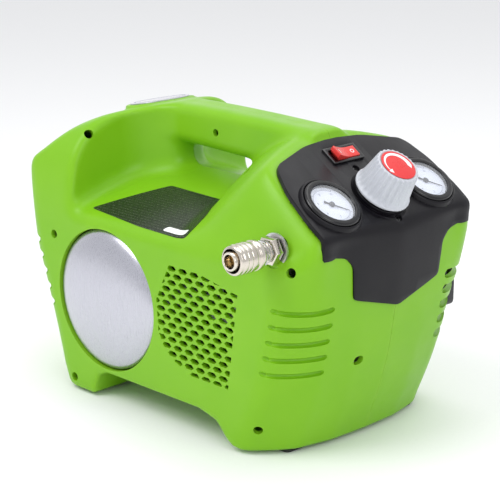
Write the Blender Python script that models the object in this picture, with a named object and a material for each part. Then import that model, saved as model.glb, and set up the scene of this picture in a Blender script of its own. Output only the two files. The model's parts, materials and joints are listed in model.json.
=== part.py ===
"""Cordless air compressor: a clamshell housing with a handle, tank, pump, regulator panel and coupler.

Lengths here are millimetres and are scaled to metres when a mesh is made. The working frame has X
along the length (+X at the control panel), Y across (-Y at the quick coupler, y = 0 at the parting
line) and Z up from the floor. One empty shifts the whole assembly so that its box is centred.
"""
import math

import bmesh
import bpy
from mathutils import Matrix, Vector

MM = 0.001
GAP = 0.3  # clearance between pieces that touch
WALL = 3.0  # housing wall

# Box: from the coupler's mouth to the tank's far end, and from the tail to the knob's rim
COUPLER_MOUTH = 155.0
TANK_END = 120.0
SHIFT_X = -4.6
SHIFT_Y = (COUPLER_MOUTH - TANK_END) / 2

# Housing
SIDE_Y = 111.0
BASE_Z = 3.0
ARCH_TOP_Z = 27.0
# level: height, wall rear x, wall front x, nose x at the parting line
HULL_LEVELS = (
    (3, -110, 108, 147),
    (8, -117, 111, 150),
    (43, -126, 128, 163),
    (78, -137, 140, 173),
    (105, -146, 146, 177),
    (130, -155, 152, 181),
    (150, -157.5, 153.5, 182.5),
    (172, -160, 155.5, 183.8),
    (205, -162, 158, 184),
    (275, -162, 158, 184),
)
REAR_BOW = 22.0  # how far the tail stands behind the side wall's end
CORNER_Y = 74.0
TANK_X = -57.6
TANK_Z = 95.2
TANK_R = 63.2
TANK_HOLE_R = 63.8
ROOF_Z = 199.0

# Oval boss on the rear hump: its plane rises towards the front
BADGE_SLOPE = math.radians(-9)
BADGE_X = -106.0
BADGE_Z = 248.5

# Grille in the near wall, seen from the side (x, z)
GRILLE_FIELD = ((27, 147), (58, 146), (108, 137), (97, 54), (52, 54), (22, 66), (12, 84), (10, 112))
GRILLE_PITCH_X = 13.7
GRILLE_PITCH_Z = 6.25
SLOT_HEIGHTS = (77.0, 90.8, 104.6, 118.4, 132.2)

# Control panel plane: tilted about Y, origin on the plane at the parting line
PANEL_TILT = math.radians(35.1)
PANEL_X = 158.0
PANEL_Z = 209.1
GAUGE_Y = 57.7
NEEDLE_REST = math.radians(52)
KNOB_U = 0.5
ROCKER_U = -47.0
ROCKER_TILT = math.radians(11)
PANEL_SCREWS_U = (-30.5, 26.5)

# Pump and motor
TEETH_GEAR = 45
TEETH_PINION = 12
MODULE = 4 / 3
GEAR_R = TEETH_GEAR * MODULE / 2
PINION_R = TEETH_PINION * MODULE / 2
MOTOR_X = 118.0
MOTOR_Z = 44.0
PUMP_ANGLE = math.radians(26)
CRANK_X = MOTOR_X - (GEAR_R + PINION_R) * math.cos(PUMP_ANGLE)
CRANK_Z = MOTOR_Z + (GEAR_R + PINION_R) * math.sin(PUMP_ANGLE)
CRANK_THROW = 10.0
ROD_LENGTH = 62.0
ROD_Y = -62.0
WRIST_Z = CRANK_Z - CRANK_THROW + ROD_LENGTH
CYLINDER_Z = 104.0
CYLINDER_TOP_Z = 146.0

# Coupler
COUPLER_X = 144.0
COUPLER_Z = 181.5

# Battery: x, y and z bounds
BATTERY = (84.0, 150.0, 22.0, 114.0, 88.0, 122.0)


# ---------------------------------------------------------------- helpers

def clear_scene():
    for item in list(bpy.data.objects):
        bpy.data.objects.remove(item, do_unlink=True)


def material(name, colour, roughness, metallic=0.0, alpha=1.0):
    mat = bpy.data.materials.get(name)
    if mat:
        return mat
    mat = bpy.data.materials.new(name)
    mat.use_nodes = True
    shader = mat.node_tree.nodes["Principled BSDF"]
    shader.inputs["Base Color"].default_value = (*colour, 1.0)
    shader.inputs["Roughness"].default_value = roughness
    shader.inputs["Metallic"].default_value = metallic
    shader.inputs["Alpha"].default_value = alpha
    mat.diffuse_color = (*colour, alpha)
    return mat


GREEN = ("green_plastic", (0.32, 0.66, 0.03), 0.4)
BLACK = ("black_plastic", (0.02, 0.02, 0.022), 0.5)
GREY = ("grey_plastic", (0.62, 0.63, 0.65), 0.45)
RED = ("red_plastic", (0.8, 0.05, 0.04), 0.35)
RUBBER = ("black_rubber", (0.03, 0.03, 0.03), 0.8)
STEEL = ("steel", (0.6, 0.6, 0.62), 0.35, 1.0)
SILVER = ("silver_paint", (0.62, 0.62, 0.66), 0.35, 0.6)
NICKEL = ("nickel_plate", (0.68, 0.65, 0.6), 0.2, 1.0)
BRASS = ("brass", (0.75, 0.58, 0.28), 0.3, 1.0)
ALLOY = ("cast_alloy", (0.6, 0.61, 0.62), 0.5, 0.9)
WHITE = ("white_print", (0.9, 0.9, 0.92), 0.5)
LENS = ("clear_lens", (0.9, 0.93, 0.95), 0.05, 0.0, 0.3)
COPPER = ("copper", (0.8, 0.45, 0.3), 0.4, 1.0)


def make(name, bm, finish=None, parent=None, origin=(0, 0, 0)):
    """Object from a bmesh in millimetres, with its origin moved to the given point."""
    bmesh.ops.recalc_face_normals(bm, faces=bm.faces)
    bmesh.ops.translate(bm, verts=bm.verts, vec=-Vector(origin))
    bmesh.ops.scale(bm, verts=bm.verts, vec=(MM, MM, MM))
    mesh = bpy.data.meshes.new(name)
    bm.to_mesh(mesh)
    bm.free()
    obj = bpy.data.objects.new(name, mesh)
    bpy.context.collection.objects.link(obj)
    obj.location = Vector(origin) * MM
    if parent:
        obj.parent = parent
    if finish:
        mesh.materials.append(material(*finish))
    return obj


def loft(rings):
    """Closed solid through rings of equal count, with a flat cap at each end."""
    bm = bmesh.new()
    rows = [[bm.verts.new(p) for p in ring] for ring in rings]
    count = len(rows[0])
    for low, high in zip(rows, rows[1:]):
        for i in range(count):
            j = (i + 1) % count
            bm.faces.new((low[i], low[j], high[j], high[i]))
    bm.faces.new(rows[0][::-1])
    bm.faces.new(rows[-1])
    return bm


def prism(outline, axis, low, high):
    """Extrude a 2-D outline along X, Y or Z. The outline holds the other two coordinates in order."""
    def place(p, h):
        if axis == "X":
            return (h, p[0], p[1])
        if axis == "Y":
            return (p[0], h, p[1])
        return (p[0], p[1], h)
    return loft([[place(p, low) for p in outline], [place(p, high) for p in outline]])


def box(x0, x1, y0, y1, z0, z1):
    return prism(((x0, y0), (x1, y0), (x1, y1), (x0, y1)), "Z", z0, z1)


def hull(points):
    bm = bmesh.new()
    for p in points:
        bm.verts.new(p)
    result = bmesh.ops.convex_hull(bm, input=bm.verts)
    loose = [v for v in result["geom_interior"] if isinstance(v, bmesh.types.BMVert)]
    bmesh.ops.delete(bm, geom=loose, context="VERTS")
    bmesh.ops.dissolve_limit(bm, angle_limit=math.radians(1), verts=bm.verts, edges=bm.edges)
    return bm


def lathe(profile, frame, segments=24, phase=0.0):
    """Revolve a closed (radius, height) outline about the frame's local Z."""
    bm = bmesh.new()
    rows = []
    for radius, height in profile:
        if radius < 1e-6:
            rows.append([bm.verts.new(frame @ Vector((0, 0, height)))])
            continue
        ring = []
        for i in range(segments):
            a = phase + 2 * math.pi * i / segments
            ring.append(bm.verts.new(frame @ Vector((radius * math.cos(a), radius * math.sin(a), height))))
        rows.append(ring)
    for low, high in zip(rows, rows[1:] + rows[:1]):
        if len(low) == 1 and len(high) == 1:
            continue
        for i in range(segments):
            j = (i + 1) % segments
            if len(low) == 1:
                bm.faces.new((low[0], high[j], high[i]))
            elif len(high) == 1:
                bm.faces.new((low[i], low[j], high[0]))
            else:
                bm.faces.new((low[i], low[j], high[j], high[i]))
    return bm


def rod(frame, radius, low, high, segments=20):
    return lathe(((0, low), (radius, low), (radius, high), (0, high)), frame, segments)


def ring(frame, outer, inner, low, high, segments=24):
    return lathe(((inner, low), (outer, low), (outer, high), (inner, high)), frame, segments)


def solid(bm):
    """A nameless object that a Boolean can use: faces that aren't flat are split into triangles."""
    bm.normal_update()
    bent = [f for f in bm.faces if any(abs((v.co - f.verts[0].co).dot(f.normal)) > 1e-4 for v in f.verts)]
    bmesh.ops.triangulate(bm, faces=bent)
    return make("scratch", bm)


def combine(target, pieces, operation):
    """Apply EXACT booleans of the pieces to the target and remove the pieces."""
    for piece in pieces:
        modifier = target.modifiers.new("cut", "BOOLEAN")
        modifier.operation = operation
        modifier.solver = "EXACT"
        modifier.object = piece
    bpy.context.view_layer.update()
    graph = bpy.context.evaluated_depsgraph_get()
    result = bpy.data.meshes.new_from_object(target.evaluated_get(graph))
    target.modifiers.clear()
    target.data = result
    for piece in pieces:
        bpy.data.objects.remove(piece, do_unlink=True)
    return target


def cut(target, *shapes):
    return combine(target, [solid(s) for s in shapes], "DIFFERENCE")


def perforate(target, shapes):
    """Cut many separate holes with one cutter."""
    cutter = bmesh.new()
    for shape in shapes:
        mesh = bpy.data.meshes.new("scratch")
        shape.to_mesh(mesh)
        shape.free()
        cutter.from_mesh(mesh)
        bpy.data.meshes.remove(mesh)
    return cut(target, cutter)


def join(target, *shapes):
    return combine(target, [solid(s) for s in shapes], "UNION")


def keep(target, *shapes):
    return combine(target, [solid(s) for s in shapes], "INTERSECT")


def copy_of(source):
    twin = bpy.data.objects.new("scratch", source.data.copy())
    bpy.context.collection.objects.link(twin)
    return twin


def clean(obj, merge=0.00002):
    """Merge the doubles that booleans leave."""
    bm = bmesh.new()
    bm.from_mesh(obj.data)
    bmesh.ops.triangulate(bm, faces=bm.faces)
    bmesh.ops.remove_doubles(bm, verts=bm.verts, dist=merge)
    bmesh.ops.dissolve_degenerate(bm, edges=bm.edges, dist=merge)
    bm.to_mesh(obj.data)
    bm.free()
    return obj


def finish_as(obj, name, finish, parent):
    obj.name = name
    obj.data.name = name
    obj.data.materials.clear()
    obj.data.materials.append(material(*finish))
    obj.parent = parent
    return obj


def axis_frame(origin, direction, across=(0, 1, 0)):
    """Matrix whose local Z is the direction and whose local Y is as near as can be to `across`."""
    z = Vector(direction).normalized()
    x = Vector(across).cross(z).normalized()
    y = z.cross(x)
    matrix = Matrix((x, y, z)).transposed().to_4x4()
    matrix.translation = Vector(origin)
    return matrix


def along_y(x, z, y=0.0):
    return axis_frame((x, y, z), (0, 1, 0), across=(0, 0, 1))


def upright(x, y, z=0.0):
    return Matrix.Translation((x, y, z))


def panel_frame(u=0.0, y=0.0, height=0.0):
    """Local X runs down the slope, local Y is across and local Z leaves the panel."""
    slope = Vector((math.cos(PANEL_TILT), 0, -math.sin(PANEL_TILT)))
    normal = Vector((math.sin(PANEL_TILT), 0, math.cos(PANEL_TILT)))
    matrix = Matrix((slope, Vector((0, 1, 0)), normal)).transposed().to_4x4()
    matrix.translation = Vector((PANEL_X, y, PANEL_Z)) + slope * u + normal * height
    return matrix


def moved(bm, matrix):
    bmesh.ops.transform(bm, matrix=matrix, verts=bm.verts)
    return bm


def tube(path, radius, segments=10):
    """Round bar along a list of points, closed at both ends."""
    points = [Vector(p) for p in path]
    rings = []
    side = None
    for i, point in enumerate(points):
        before = points[max(i - 1, 0)]
        after = points[min(i + 1, len(points) - 1)]
        heading = (after - before).normalized()
        if side is None:
            side = heading.orthogonal().normalized()
        side = (side - heading * side.dot(heading)).normalized()
        other = heading.cross(side)
        rings.append([
            point + radius * (side * math.cos(a) + other * math.sin(a))
            for a in (2 * math.pi * k / segments for k in range(segments))
        ])
    return loft(rings)


def smooth_path(points, steps=4):
    """Catmull-Rom points through a short list of control points."""
    p = [Vector(q) for q in points]
    p = [2 * p[0] - p[1]] + p + [2 * p[-1] - p[-2]]
    path = []
    for i in range(1, len(p) - 2):
        for k in range(steps):
            t = k / steps
            path.append(0.5 * (
                2 * p[i] + (p[i + 1] - p[i - 1]) * t
                + (2 * p[i - 1] - 5 * p[i] + 4 * p[i + 1] - p[i + 2]) * t * t
                + (3 * p[i] - p[i - 1] - 3 * p[i + 1] + p[i + 2]) * t ** 3
            ))
    path.append(p[-2])
    return path


def coil(frame, radius, wire, length, turns, per_turn=12, segments=5):
    """Helical spring along local Z from 0 to length."""
    steps = int(turns * per_turn)
    path = []
    for i in range(steps + 1):
        a = 2 * math.pi * turns * i / steps
        height = wire + (length - 2 * wire) * i / steps
        path.append(frame @ Vector((radius * math.cos(a), radius * math.sin(a), height)))
    return tube(path, wire, segments)


# ---------------------------------------------------------------- housing

def plan_ring(z, wall_rear, wall_front, nose, inset):
    """Outline of the hull at one height: straight walls, faceted corners, bowed nose and tail."""
    half = []
    tail = wall_rear - REAR_BOW
    low = max(0.0, min(1.0, (130 - z) / 127))
    half.append((nose, 0.0))
    half.append((nose - 1.5, 40.0))
    half.append((nose - 4 - 5 * low, CORNER_Y))
    corner_x, corner_y = nose - 4 - 5 * low, CORNER_Y
    full = 6 + 32 * max(0.0, min(1.0, (z - 105) / 65))
    for t in (0.4, 0.75):
        bulge = full * t * (1 - t)
        half.append((corner_x + (wall_front - corner_x) * t + bulge,
                     corner_y + (SIDE_Y - corner_y) * t + bulge))
    half.append((wall_front, SIDE_Y))
    half.append((wall_rear, SIDE_Y))
    for t in (0.7, 0.35):
        bulge = 6 * t * (1 - t)
        half.append((tail + 4 + (wall_rear - tail - 4) * t - bulge,
                     CORNER_Y + (SIDE_Y - CORNER_Y) * t + bulge))
    half.append((tail + 4, CORNER_Y))
    half.append((tail + 1.5, 40.0))
    half.append((tail, 0.0))
    centre = (wall_front + wall_rear) / 2
    outline = []
    for x, y in half:
        scale_x = 1 - inset / 150
        scale_y = 1 - inset / SIDE_Y
        outline.append((centre + (x - centre) * scale_x, y * scale_y))
    mirrored = [(x, -y) for x, y in outline[-2:0:-1]]
    return [(x, y, z) for x, y in outline + mirrored]


def hull_loft(inset):
    rings = []
    for level, (z, rear, front, nose) in enumerate(HULL_LEVELS):
        height = z + (inset if level == 0 else 0)
        rings.append(plan_ring(height, rear, front, nose, inset))
    return loft(rings)


def arch_cutter(inset):
    """Tunnel under the body, between the front and rear feet blocks."""
    top = ARCH_TOP_Z + inset
    outline = (
        (-78 - inset, -10), (-78 - inset, BASE_Z), (-71 - inset, 22 + inset), (-60, top), (60, top),
        (81 + inset, 22 + inset), (93 + inset, 9 + inset), (105 + inset, BASE_Z), (107 + inset, -10),
    )
    return prism(outline, "Y", -140, 140)


def top_cover(inset):
    """Everything under the top surface; the tail end is bowed, so its profile shifts forward at the sides."""
    centre = ((-215, 194), (-186, 212), (-160, 231), (-134, 241), (-110, 248), (-84, 253.5), (-60, 258),
              (-15, 258.5), (34, 258), (91, 256), (120, 252), (200, 252))
    edge = ((-190, 188), (-163, 207), (-147, 218), (-122, 238), (-98, 249), (-80, 253), (-60, 256.5),
            (-15, 257), (34, 256), (91, 254), (120, 250), (200, 250))
    rings = []
    for y, blend in ((-120, 1.15), (-100, 1.0), (-60, 0.4), (0, 0.0), (60, 0.4), (100, 1.0), (120, 1.15)):
        top = [(cx + (ex - cx) * blend, y, cz + (ez - cz) * blend - inset)
               for (cx, cz), (ex, ez) in zip(centre, edge)]
        rings.append(top + [(220, y, -20), (-220, y, -20)])
    return loft(rings)


def lower_body(inset):
    """Everything under the gently sloped shoulders."""
    right = [(y, ROOF_Z - 0.2 * y - 0.0009 * y * y - inset) for y in (0, 30, 60, 85, 103)]
    right += [(109, 163 - inset), (113, 156 - inset), (125, 140 - inset)]
    left = [(-y, z) for y, z in right[:0:-1]]
    return prism(left + right + [(125, -20), (-125, -20)], "X", -230, 230)


def rear_hump(inset):
    """Mass behind the handle pocket: an upright wall, concave in plan, under a crowned top."""
    half = [(-104, 130), (-103, 100), (-101, 75), (-97, 50), (-88, 34), (-76, 24), (-66, 18.5), (-62, 0)]
    half = [(-230, 0), (-230, 130)] + [(x - inset, y) for x, y in half]
    mirrored = [(x, -y) for x, y in half[-2:0:-1]]
    mass = solid(prism(half + mirrored, "Z", 100, 280))
    crown = [(0, 270), (50, 252), (66, 247.5), (80, 241), (90, 234), (100, 222), (108, 205), (111.5, 190), (125, 120)]
    right = [(y, z - inset) for y, z in crown]
    left = [(-y, z) for y, z in right[:0:-1]]
    return keep(mass, prism(left + right + [(125, 80), (-125, 80)], "X", -240, 0))


def front_hump(inset):
    """Convex mass that carries the panel, with gabled shoulders down to the side walls."""
    half = (
        (23, 17, 216), (70, 23, 243.5), (98, 30, 251), (109, 50, 248), (113, 79, 240.6),
        (65, 60, 221), (108, 94, 227), (171, 99, 193), (37, 106, 165), (60, 113, 158),
        (150, 113, 160), (200, 92, 179.5), (200, 60, 179.5), (60, 113, 60), (200, 100, 60), (30, 60, 60),
    )
    bm = hull([(x, side * y, z) for x, y, z in half for side in (1, -1)])
    if inset:
        bm.normal_update()
        offsets = [(v, -v.normal * inset * min(v.calc_shell_factor(), 1.6)) for v in bm.verts]
        for vertex, offset in offsets:
            vertex.co += offset
    return bm


def handle_bar(inset):
    """Grip between the humps: upright sides and a rounded top."""
    rings = []
    stations = ((-130, 222, 254), (-58, 223, 258.5), (-15, 221, 258.5), (34, 219, 257), (70, 226, 255), (102, 225, 246))
    for x, low, high in stations:
        half = ((0, low), (15, low), (20, low + 4), (20, high - 9), (13, high - 2.5), (0, high))
        half = [(max(y - inset, 0), z) for y, z in half]
        half = [(y, z + inset if z < (low + high) / 2 else z - inset) for y, z in half]
        mirrored = [(-y, z) for y, z in half[-2:0:-1]]
        rings.append([(x, y, z) for y, z in half + mirrored])
    return loft(rings)


def badge_frame(u=0.0, y=0.0, height=0.0):
    slope = Vector((math.cos(BADGE_SLOPE), 0, -math.sin(BADGE_SLOPE)))
    normal = Vector((math.sin(BADGE_SLOPE), 0, math.cos(BADGE_SLOPE)))
    matrix = Matrix((slope, Vector((0, 1, 0)), normal)).transposed().to_4x4()
    matrix.translation = Vector((BADGE_X, y, BADGE_Z)) + slope * u + normal * height
    return matrix


def ellipse_plate(frame, half_x, half_y, low, high, segments=24):
    rings = []
    for height in (low, high):
        points = []
        for i in range(segments):
            a = 2 * math.pi * i / segments
            points.append(frame @ Vector((half_x * math.cos(a), half_y * math.sin(a), height)))
        rings.append(points)
    return loft(rings)


def housing_solid(inset):
    body = solid(lower_body(inset))
    combine(body, [rear_hump(inset)], "UNION")
    join(body, front_hump(inset))
    join(body, handle_bar(inset))
    keep(body, hull_loft(inset))
    keep(body, top_cover(inset))
    cut(body, arch_cutter(inset))
    return body


def inside(outline, x, z):
    """Whether a point lies within a convex outline given clockwise."""
    for (x0, z0), (x1, z1) in zip(outline, outline[1:] + outline[:1]):
        if (x1 - x0) * (z - z0) - (z1 - z0) * (x - x0) > 0:
            return False
    return True


def grille_holes():
    """Staggered rows of long hexagonal holes through the near wall, inside the grille field."""
    holes = []
    for row in range(15):
        z = 55.3 + row * GRILLE_PITCH_Z
        for column in range(9):
            x = 2.2 + (column + 0.5 * (row % 2)) * GRILLE_PITCH_X
            ends = (inside(GRILLE_FIELD, x - 4, z), inside(GRILLE_FIELD, x + 4, z))
            if all(ends):
                outline = [(x + 5.0 * a, z + 2.2 * b)
                           for a, b in ((-1, 0), (-0.5, 1), (0.5, 1), (1, 0), (0.5, -1), (-0.5, -1))]
                holes.append(prism(outline, "Y", -125, -100))
    return holes


def corner_slot(z, end, side):
    """Upright-walled slot round a corner facet; `end` is +1 at the nose and -1 at the tail."""
    lean = 0.30
    if end > 0:
        x = 163 + (z - 100) * lean
    else:
        x = -166 - (z - 100) * lean * 0.9
    frame = Matrix.Translation((x, side * 93, z)) @ Matrix.Rotation(-end * side * math.radians(57), 4, "Z")
    outline = ((-19, -3), (-17, -4.5), (17, -4.5), (19, -3), (19, 3), (17, 4.5), (-17, 4.5), (-19, 3))
    rings = [[frame @ Vector((a, depth, b)) for a, b in outline] for depth in (-16, 16)]
    return loft(rings)


def panel_outline(gap):
    """Panel edge in the panel plane (slope distance u, y)."""
    half = ((-69.5, 0), (-66.5, 35), (-54, 76), (-47, 81), (-25, 87.5), (10, 90.5), (26, 89.5), (60, 89.5))
    half = [(u - gap if i < 3 else u, y + gap if y else 0) for i, (u, y) in enumerate(half)]
    return half + [(u, -y) for u, y in half[::-1] if y]


def chin_outline(gap):
    """Panel edge on the nose, seen from the front (y, z)."""
    half = [(0, 121 - gap), (53 + gap, 136 - gap), (56 + gap, 165 - gap), (64, 173 - gap),
            (84, 176.5 - gap), (89.5 + gap, 182 - gap), (89.5 + gap, 250)]
    return half + [(-y, z) for y, z in half[::-1] if y]


def panel_skin(outer, inner):
    """Bent plate that follows the panel plane and the nose, between two depths below the skin."""
    def edge(depth):
        frame = panel_frame(0, 0, -depth)
        top = frame @ Vector((-90, 0, 0))
        fold = frame @ Vector((27 - depth * 0.6, 0, 0))
        nose = (184.0 - depth, 181.2)
        chin = (180.2 - depth, 100.0)
        return [(top.x, top.z), (fold.x, fold.z), nose, chin]
    return prism(edge(outer) + edge(inner)[::-1], "Y", -140, 140)


def panel_prism(gap, low, high):
    frame = panel_frame()
    outline = panel_outline(gap)
    rings = [[frame @ Vector((u, y, h)) for u, y in outline] for h in (low, high)]
    return loft(rings)


def panel_region(gap, outer, inner):
    """The bent plate trimmed to the panel's outline: the plane part and the chin part."""
    plate = solid(panel_skin(outer, inner))
    region = solid(panel_prism(gap, -12, 12))
    chin = prism(chin_outline(gap), "X", 168, 200)
    join(region, chin)
    return combine(plate, [region], "INTERSECT")


def build_housing(parent):
    outer = housing_solid(0.0)
    join(outer, ellipse_plate(badge_frame(), 20, 38, -12, 3, 28))
    inner = housing_solid(WALL)
    combine(outer, [inner], "DIFFERENCE")
    combine(outer, [panel_region(0.5, -8, 8)], "DIFFERENCE")
    holes = [lathe(((0, -140), (TANK_HOLE_R, -140), (TANK_HOLE_R, 140), (0, 140)), along_y(TANK_X, TANK_Z), 48)]
    holes.append(rod(upright(TANK_X, 0), 10, 10, 40, 20))
    holes.append(rod(along_y(COUPLER_X, COUPLER_Z), 9.5, -140, -60, 20))
    holes.append(rod(along_y(COUPLER_X, COUPLER_Z), 13.5, -140, -106, 20))
    holes.append(box(BATTERY[0] - 1, BATTERY[1] + 1, 70, 140, BATTERY[4] - 1, BATTERY[5] + 1))
    cut(outer, *holes)
    near = copy_of(outer)
    far = outer
    cut(near, box(-250, 250, -GAP / 2, 200, -20, 300))
    cut(far, box(-250, 250, -200, GAP / 2, -20, 300))
    perforate(near, grille_holes())
    perforate(far, [corner_slot(z, end, 1) for z in SLOT_HEIGHTS for end in (1, -1)])
    perforate(near, [corner_slot(z, -1, -1) for z in SLOT_HEIGHTS])
    clean(near)
    clean(far)
    finish_as(near, "housing_near_half", GREEN, parent)
    finish_as(far, "housing_far_half", GREEN, parent)


def build_panel(parent):
    panel = panel_region(0.0, 0.0, WALL)
    collars = []
    for y in (-GAUGE_Y, GAUGE_Y):
        collars.append(lathe(((22.5, -2.5), (27.5, -2.5), (27.5, 3.0), (26.5, 4.5), (25, 4.5), (25, 0.2), (22.5, 0.2)),
                             panel_frame(0, y), 24))
    join(panel, *collars)
    holes = [rod(panel_frame(0, y), 22.8, -12, 12, 24) for y in (-GAUGE_Y, GAUGE_Y)]
    holes.append(rod(panel_frame(KNOB_U, 0), 19.5, -12, 12, 24))
    holes.append(moved(box(ROCKER_U - 7.2, ROCKER_U + 7.2, -17.2, 15.2, -12, 12), panel_frame()))
    holes += [rod(panel_frame(u, 0), 2.2, -12, 12, 12) for u in PANEL_SCREWS_U]
    cut(panel, *holes)
    clean(panel)
    finish_as(panel, "control_panel", BLACK, parent)
    for name, u in zip(("panel_screw_rear", "panel_screw_front"), PANEL_SCREWS_U):
        profile = ((0, -14), (1.6, -14), (1.6, 0.3), (3.6, 0.3), (3.6, 1.6), (2.4, 2.4), (0, 2.4))
        make(name, lathe(profile, panel_frame(u, 0), 12), STEEL, parent)


# ---------------------------------------------------------------- gauges, knob and switch

def gauge(prefix, y, parent):
    frame = panel_frame(0, y)
    case = ((5, -27 + GAP), (5, -20), (21.5, -20), (21.5, 0.5), (24.4, 1.0), (24.4, 5.0), (23.2, 6.4),
            (19.2, 6.4), (19.2, 1.2), (19.6, 1.2), (19.6, -17), (3, -17), (3, -27 + GAP))
    make(prefix + "_case", lathe(case, frame, 24), BLACK, parent)
    make(prefix + "_dial", ring(frame, 19.0, 1.6, 2.2, 2.8, 24), WHITE, parent)
    make(prefix + "_lens", rod(frame, 18.9, 5.2, 6.0, 24), LENS, parent)
    swing = pivot(prefix + "_pivot", frame, parent)
    needle = join(solid(rod(Matrix.Identity(4), 1.2, -4, 4.2, 12)),
                  prism(((-5.5, -1.1), (3, -0.7), (15, -0.25), (15, 0.25), (3, 0.7), (-5.5, 1.1)), "Z", 3.2, 3.9),
                  rod(Matrix.Identity(4), 2.4, 3.3, 4.2, 12))
    turn = Matrix.Rotation(NEEDLE_REST, 4, "Z")
    needle.data.transform(turn)
    clean(needle)
    finish_as(needle, prefix + "_needle", BLACK, swing)


def pivot(name, frame, parent):
    """Empty on a joint's axis, turned so that its local Z is that axis."""
    empty = bpy.data.objects.new(name, None)
    bpy.context.collection.objects.link(empty)
    placed = frame.copy()
    placed.translation = frame.translation * MM
    empty.matrix_local = placed
    empty.parent = parent
    return empty


def fluted_ring(radius, depth, flutes, height):
    points = []
    count = flutes * 2
    for i in range(count):
        r = radius if i % 2 == 0 else radius - depth
        a = 2 * math.pi * i / count
        points.append((r * math.cos(a), r * math.sin(a), height))
    return points


def build_regulator(parent):
    frame = panel_frame(KNOB_U, 0)
    bonnet = ((15, -26.7), (19, -26.7), (19, 3.5), (17.5, 4.5), (5, 4.5), (5, 0.5), (15, 0.5))
    make("regulator_bonnet", lathe(bonnet, frame, 24), BLACK, parent)
    make("regulator_diaphragm", rod(frame, 14.5, -26.4, -24.4, 24), RUBBER, parent)
    spring = coil(panel_frame(KNOB_U, 0, -24.1), 9.5, 1.2, 14.5, 3.5, 10, 4)
    make("regulator_spring", spring, STEEL, parent)
    screw_pivot = pivot("regulator_screw_pivot", frame, parent)
    screw = ((0, -9.3), (10, -9.3), (10, -7), (4, -7), (4, 26), (0, 26))
    make("regulator_screw", lathe(screw, Matrix.Identity(4), 20), STEEL, screw_pivot)
    knob = solid(loft([fluted_ring(23.6, 0.0, 26, 6.0), fluted_ring(23.6, 0.0, 26, 8.0),
                       fluted_ring(23.0, 1.2, 26, 9.0), fluted_ring(19.0, 1.2, 26, 32.0),
                       fluted_ring(18.3, 0.0, 26, 34.5)]))
    cut(knob, rod(Matrix.Identity(4), 16, 0, 29, 28))
    join(knob, rod(Matrix.Identity(4), 7, 8, 30, 16))
    cut(knob, rod(Matrix.Identity(4), 4.3, 0, 30.6, 20))
    clean(knob)
    finish_as(knob, "regulator_knob", GREY, screw_pivot)
    make("knob_label", rod(Matrix.Identity(4), 15.5, 34.5 + GAP, 35.1, 28), RED, screw_pivot)


def build_switch(parent):
    frame = panel_frame(ROCKER_U, -1)
    housing = solid(moved(box(-8.5, 8.5, -18.5, 18.5, GAP, 2.3), frame))
    join(housing, moved(box(-6.8, 6.8, -15.8, 15.8, -21, 1), frame))
    cut(housing, moved(box(-5.8, 5.8, -14.8, 14.8, -9, 10), frame))
    clean(housing)
    finish_as(housing, "switch_frame", BLACK, parent)
    swing = pivot("rocker_pivot", panel_frame(ROCKER_U, -1, 0.5), parent)
    top = ((-13.8, 2.2), (-13.4, 5.2), (0, 3.0), (13.4, 5.2), (13.8, 2.2), (6, -5.5), (-6, -5.5))
    rocker = prism(top, "X", -5.4, 5.4)
    moved(rocker, Matrix.Rotation(-ROCKER_TILT, 4, "X"))
    make("rocker_switch", rocker, RED, swing)


def build_manifold(parent):
    block = solid(moved(box(-8, 16, -72, 72, -45, -27.3), panel_frame()))
    bores = [rod(panel_frame(0, y), 3.0, -36, -20, 12) for y in (-GAUGE_Y, GAUGE_Y)]
    bores.append(rod(panel_frame(KNOB_U, 0), 6.0, -38, -20, 16))
    bores.append(rod(along_y(COUPLER_X, COUPLER_Z), 4.2, -80, 60, 16))
    cut(block, *bores)
    clean(block)
    finish_as(block, "regulator_manifold", ALLOY, parent)


# ---------------------------------------------------------------- quick coupler

def build_coupler(parent):
    frame = axis_frame((COUPLER_X, 0, COUPLER_Z), (0, -1, 0), across=(0, 0, 1))
    hexagon = lathe(((4.5, 106.5), (11.5, 106.5), (11.5, 115), (4.5, 115)), frame, 6)
    body = ((4.5, 72 + GAP), (6.5, 72 + GAP), (6.5, 108), (7.5, 108), (7.5, 121.5), (8.2, 122), (8.2, 150),
            (7.4, COUPLER_MOUTH), (5.6, COUPLER_MOUTH), (5.6, 126), (4.5, 124))
    shell = solid(lathe(body, frame, 18))
    join(shell, hexagon)
    clean(shell)
    finish_as(shell, "coupler_body", NICKEL, parent)
    slide = pivot("coupler_sleeve_pivot", frame, parent)
    sleeve = ((8.5, 126), (11.6, 126), (12.2, 127), (12.2, 131), (11.4, 132), (11.4, 135), (12.4, 136), (12.4, 148),
              (11.8, 149.5), (11.8, 151.5), (9.6, 152.5), (9.6, 140.6), (8.5, 140.6))
    make("coupler_sleeve", lathe(sleeve, Matrix.Identity(4), 20), NICKEL, slide)
    spring = coil(axis_frame((COUPLER_X, -116.2, COUPLER_Z), (0, -1, 0), (0, 0, 1)), 9.6, 0.5, 9.4, 3, 10, 4)
    make("coupler_sleeve_spring", spring, STEEL, parent)
    valve_slide = pivot("coupler_valve_pivot", frame, parent)
    valve = ((0, 130), (1.8, 130), (1.8, 138), (5.0, 139), (5.0, 143), (3.0, 144.5), (3.0, 147), (0, 147))
    make("coupler_valve", lathe(valve, Matrix.Identity(4), 16), BRASS, valve_slide)
    valve_spring = coil(axis_frame((COUPLER_X, -126.6, COUPLER_Z), (0, -1, 0), (0, 0, 1)), 3.6, 0.45, 11.8, 3.5, 8, 4)
    make("coupler_valve_spring", valve_spring, STEEL, parent)


# ---------------------------------------------------------------- tank

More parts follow.
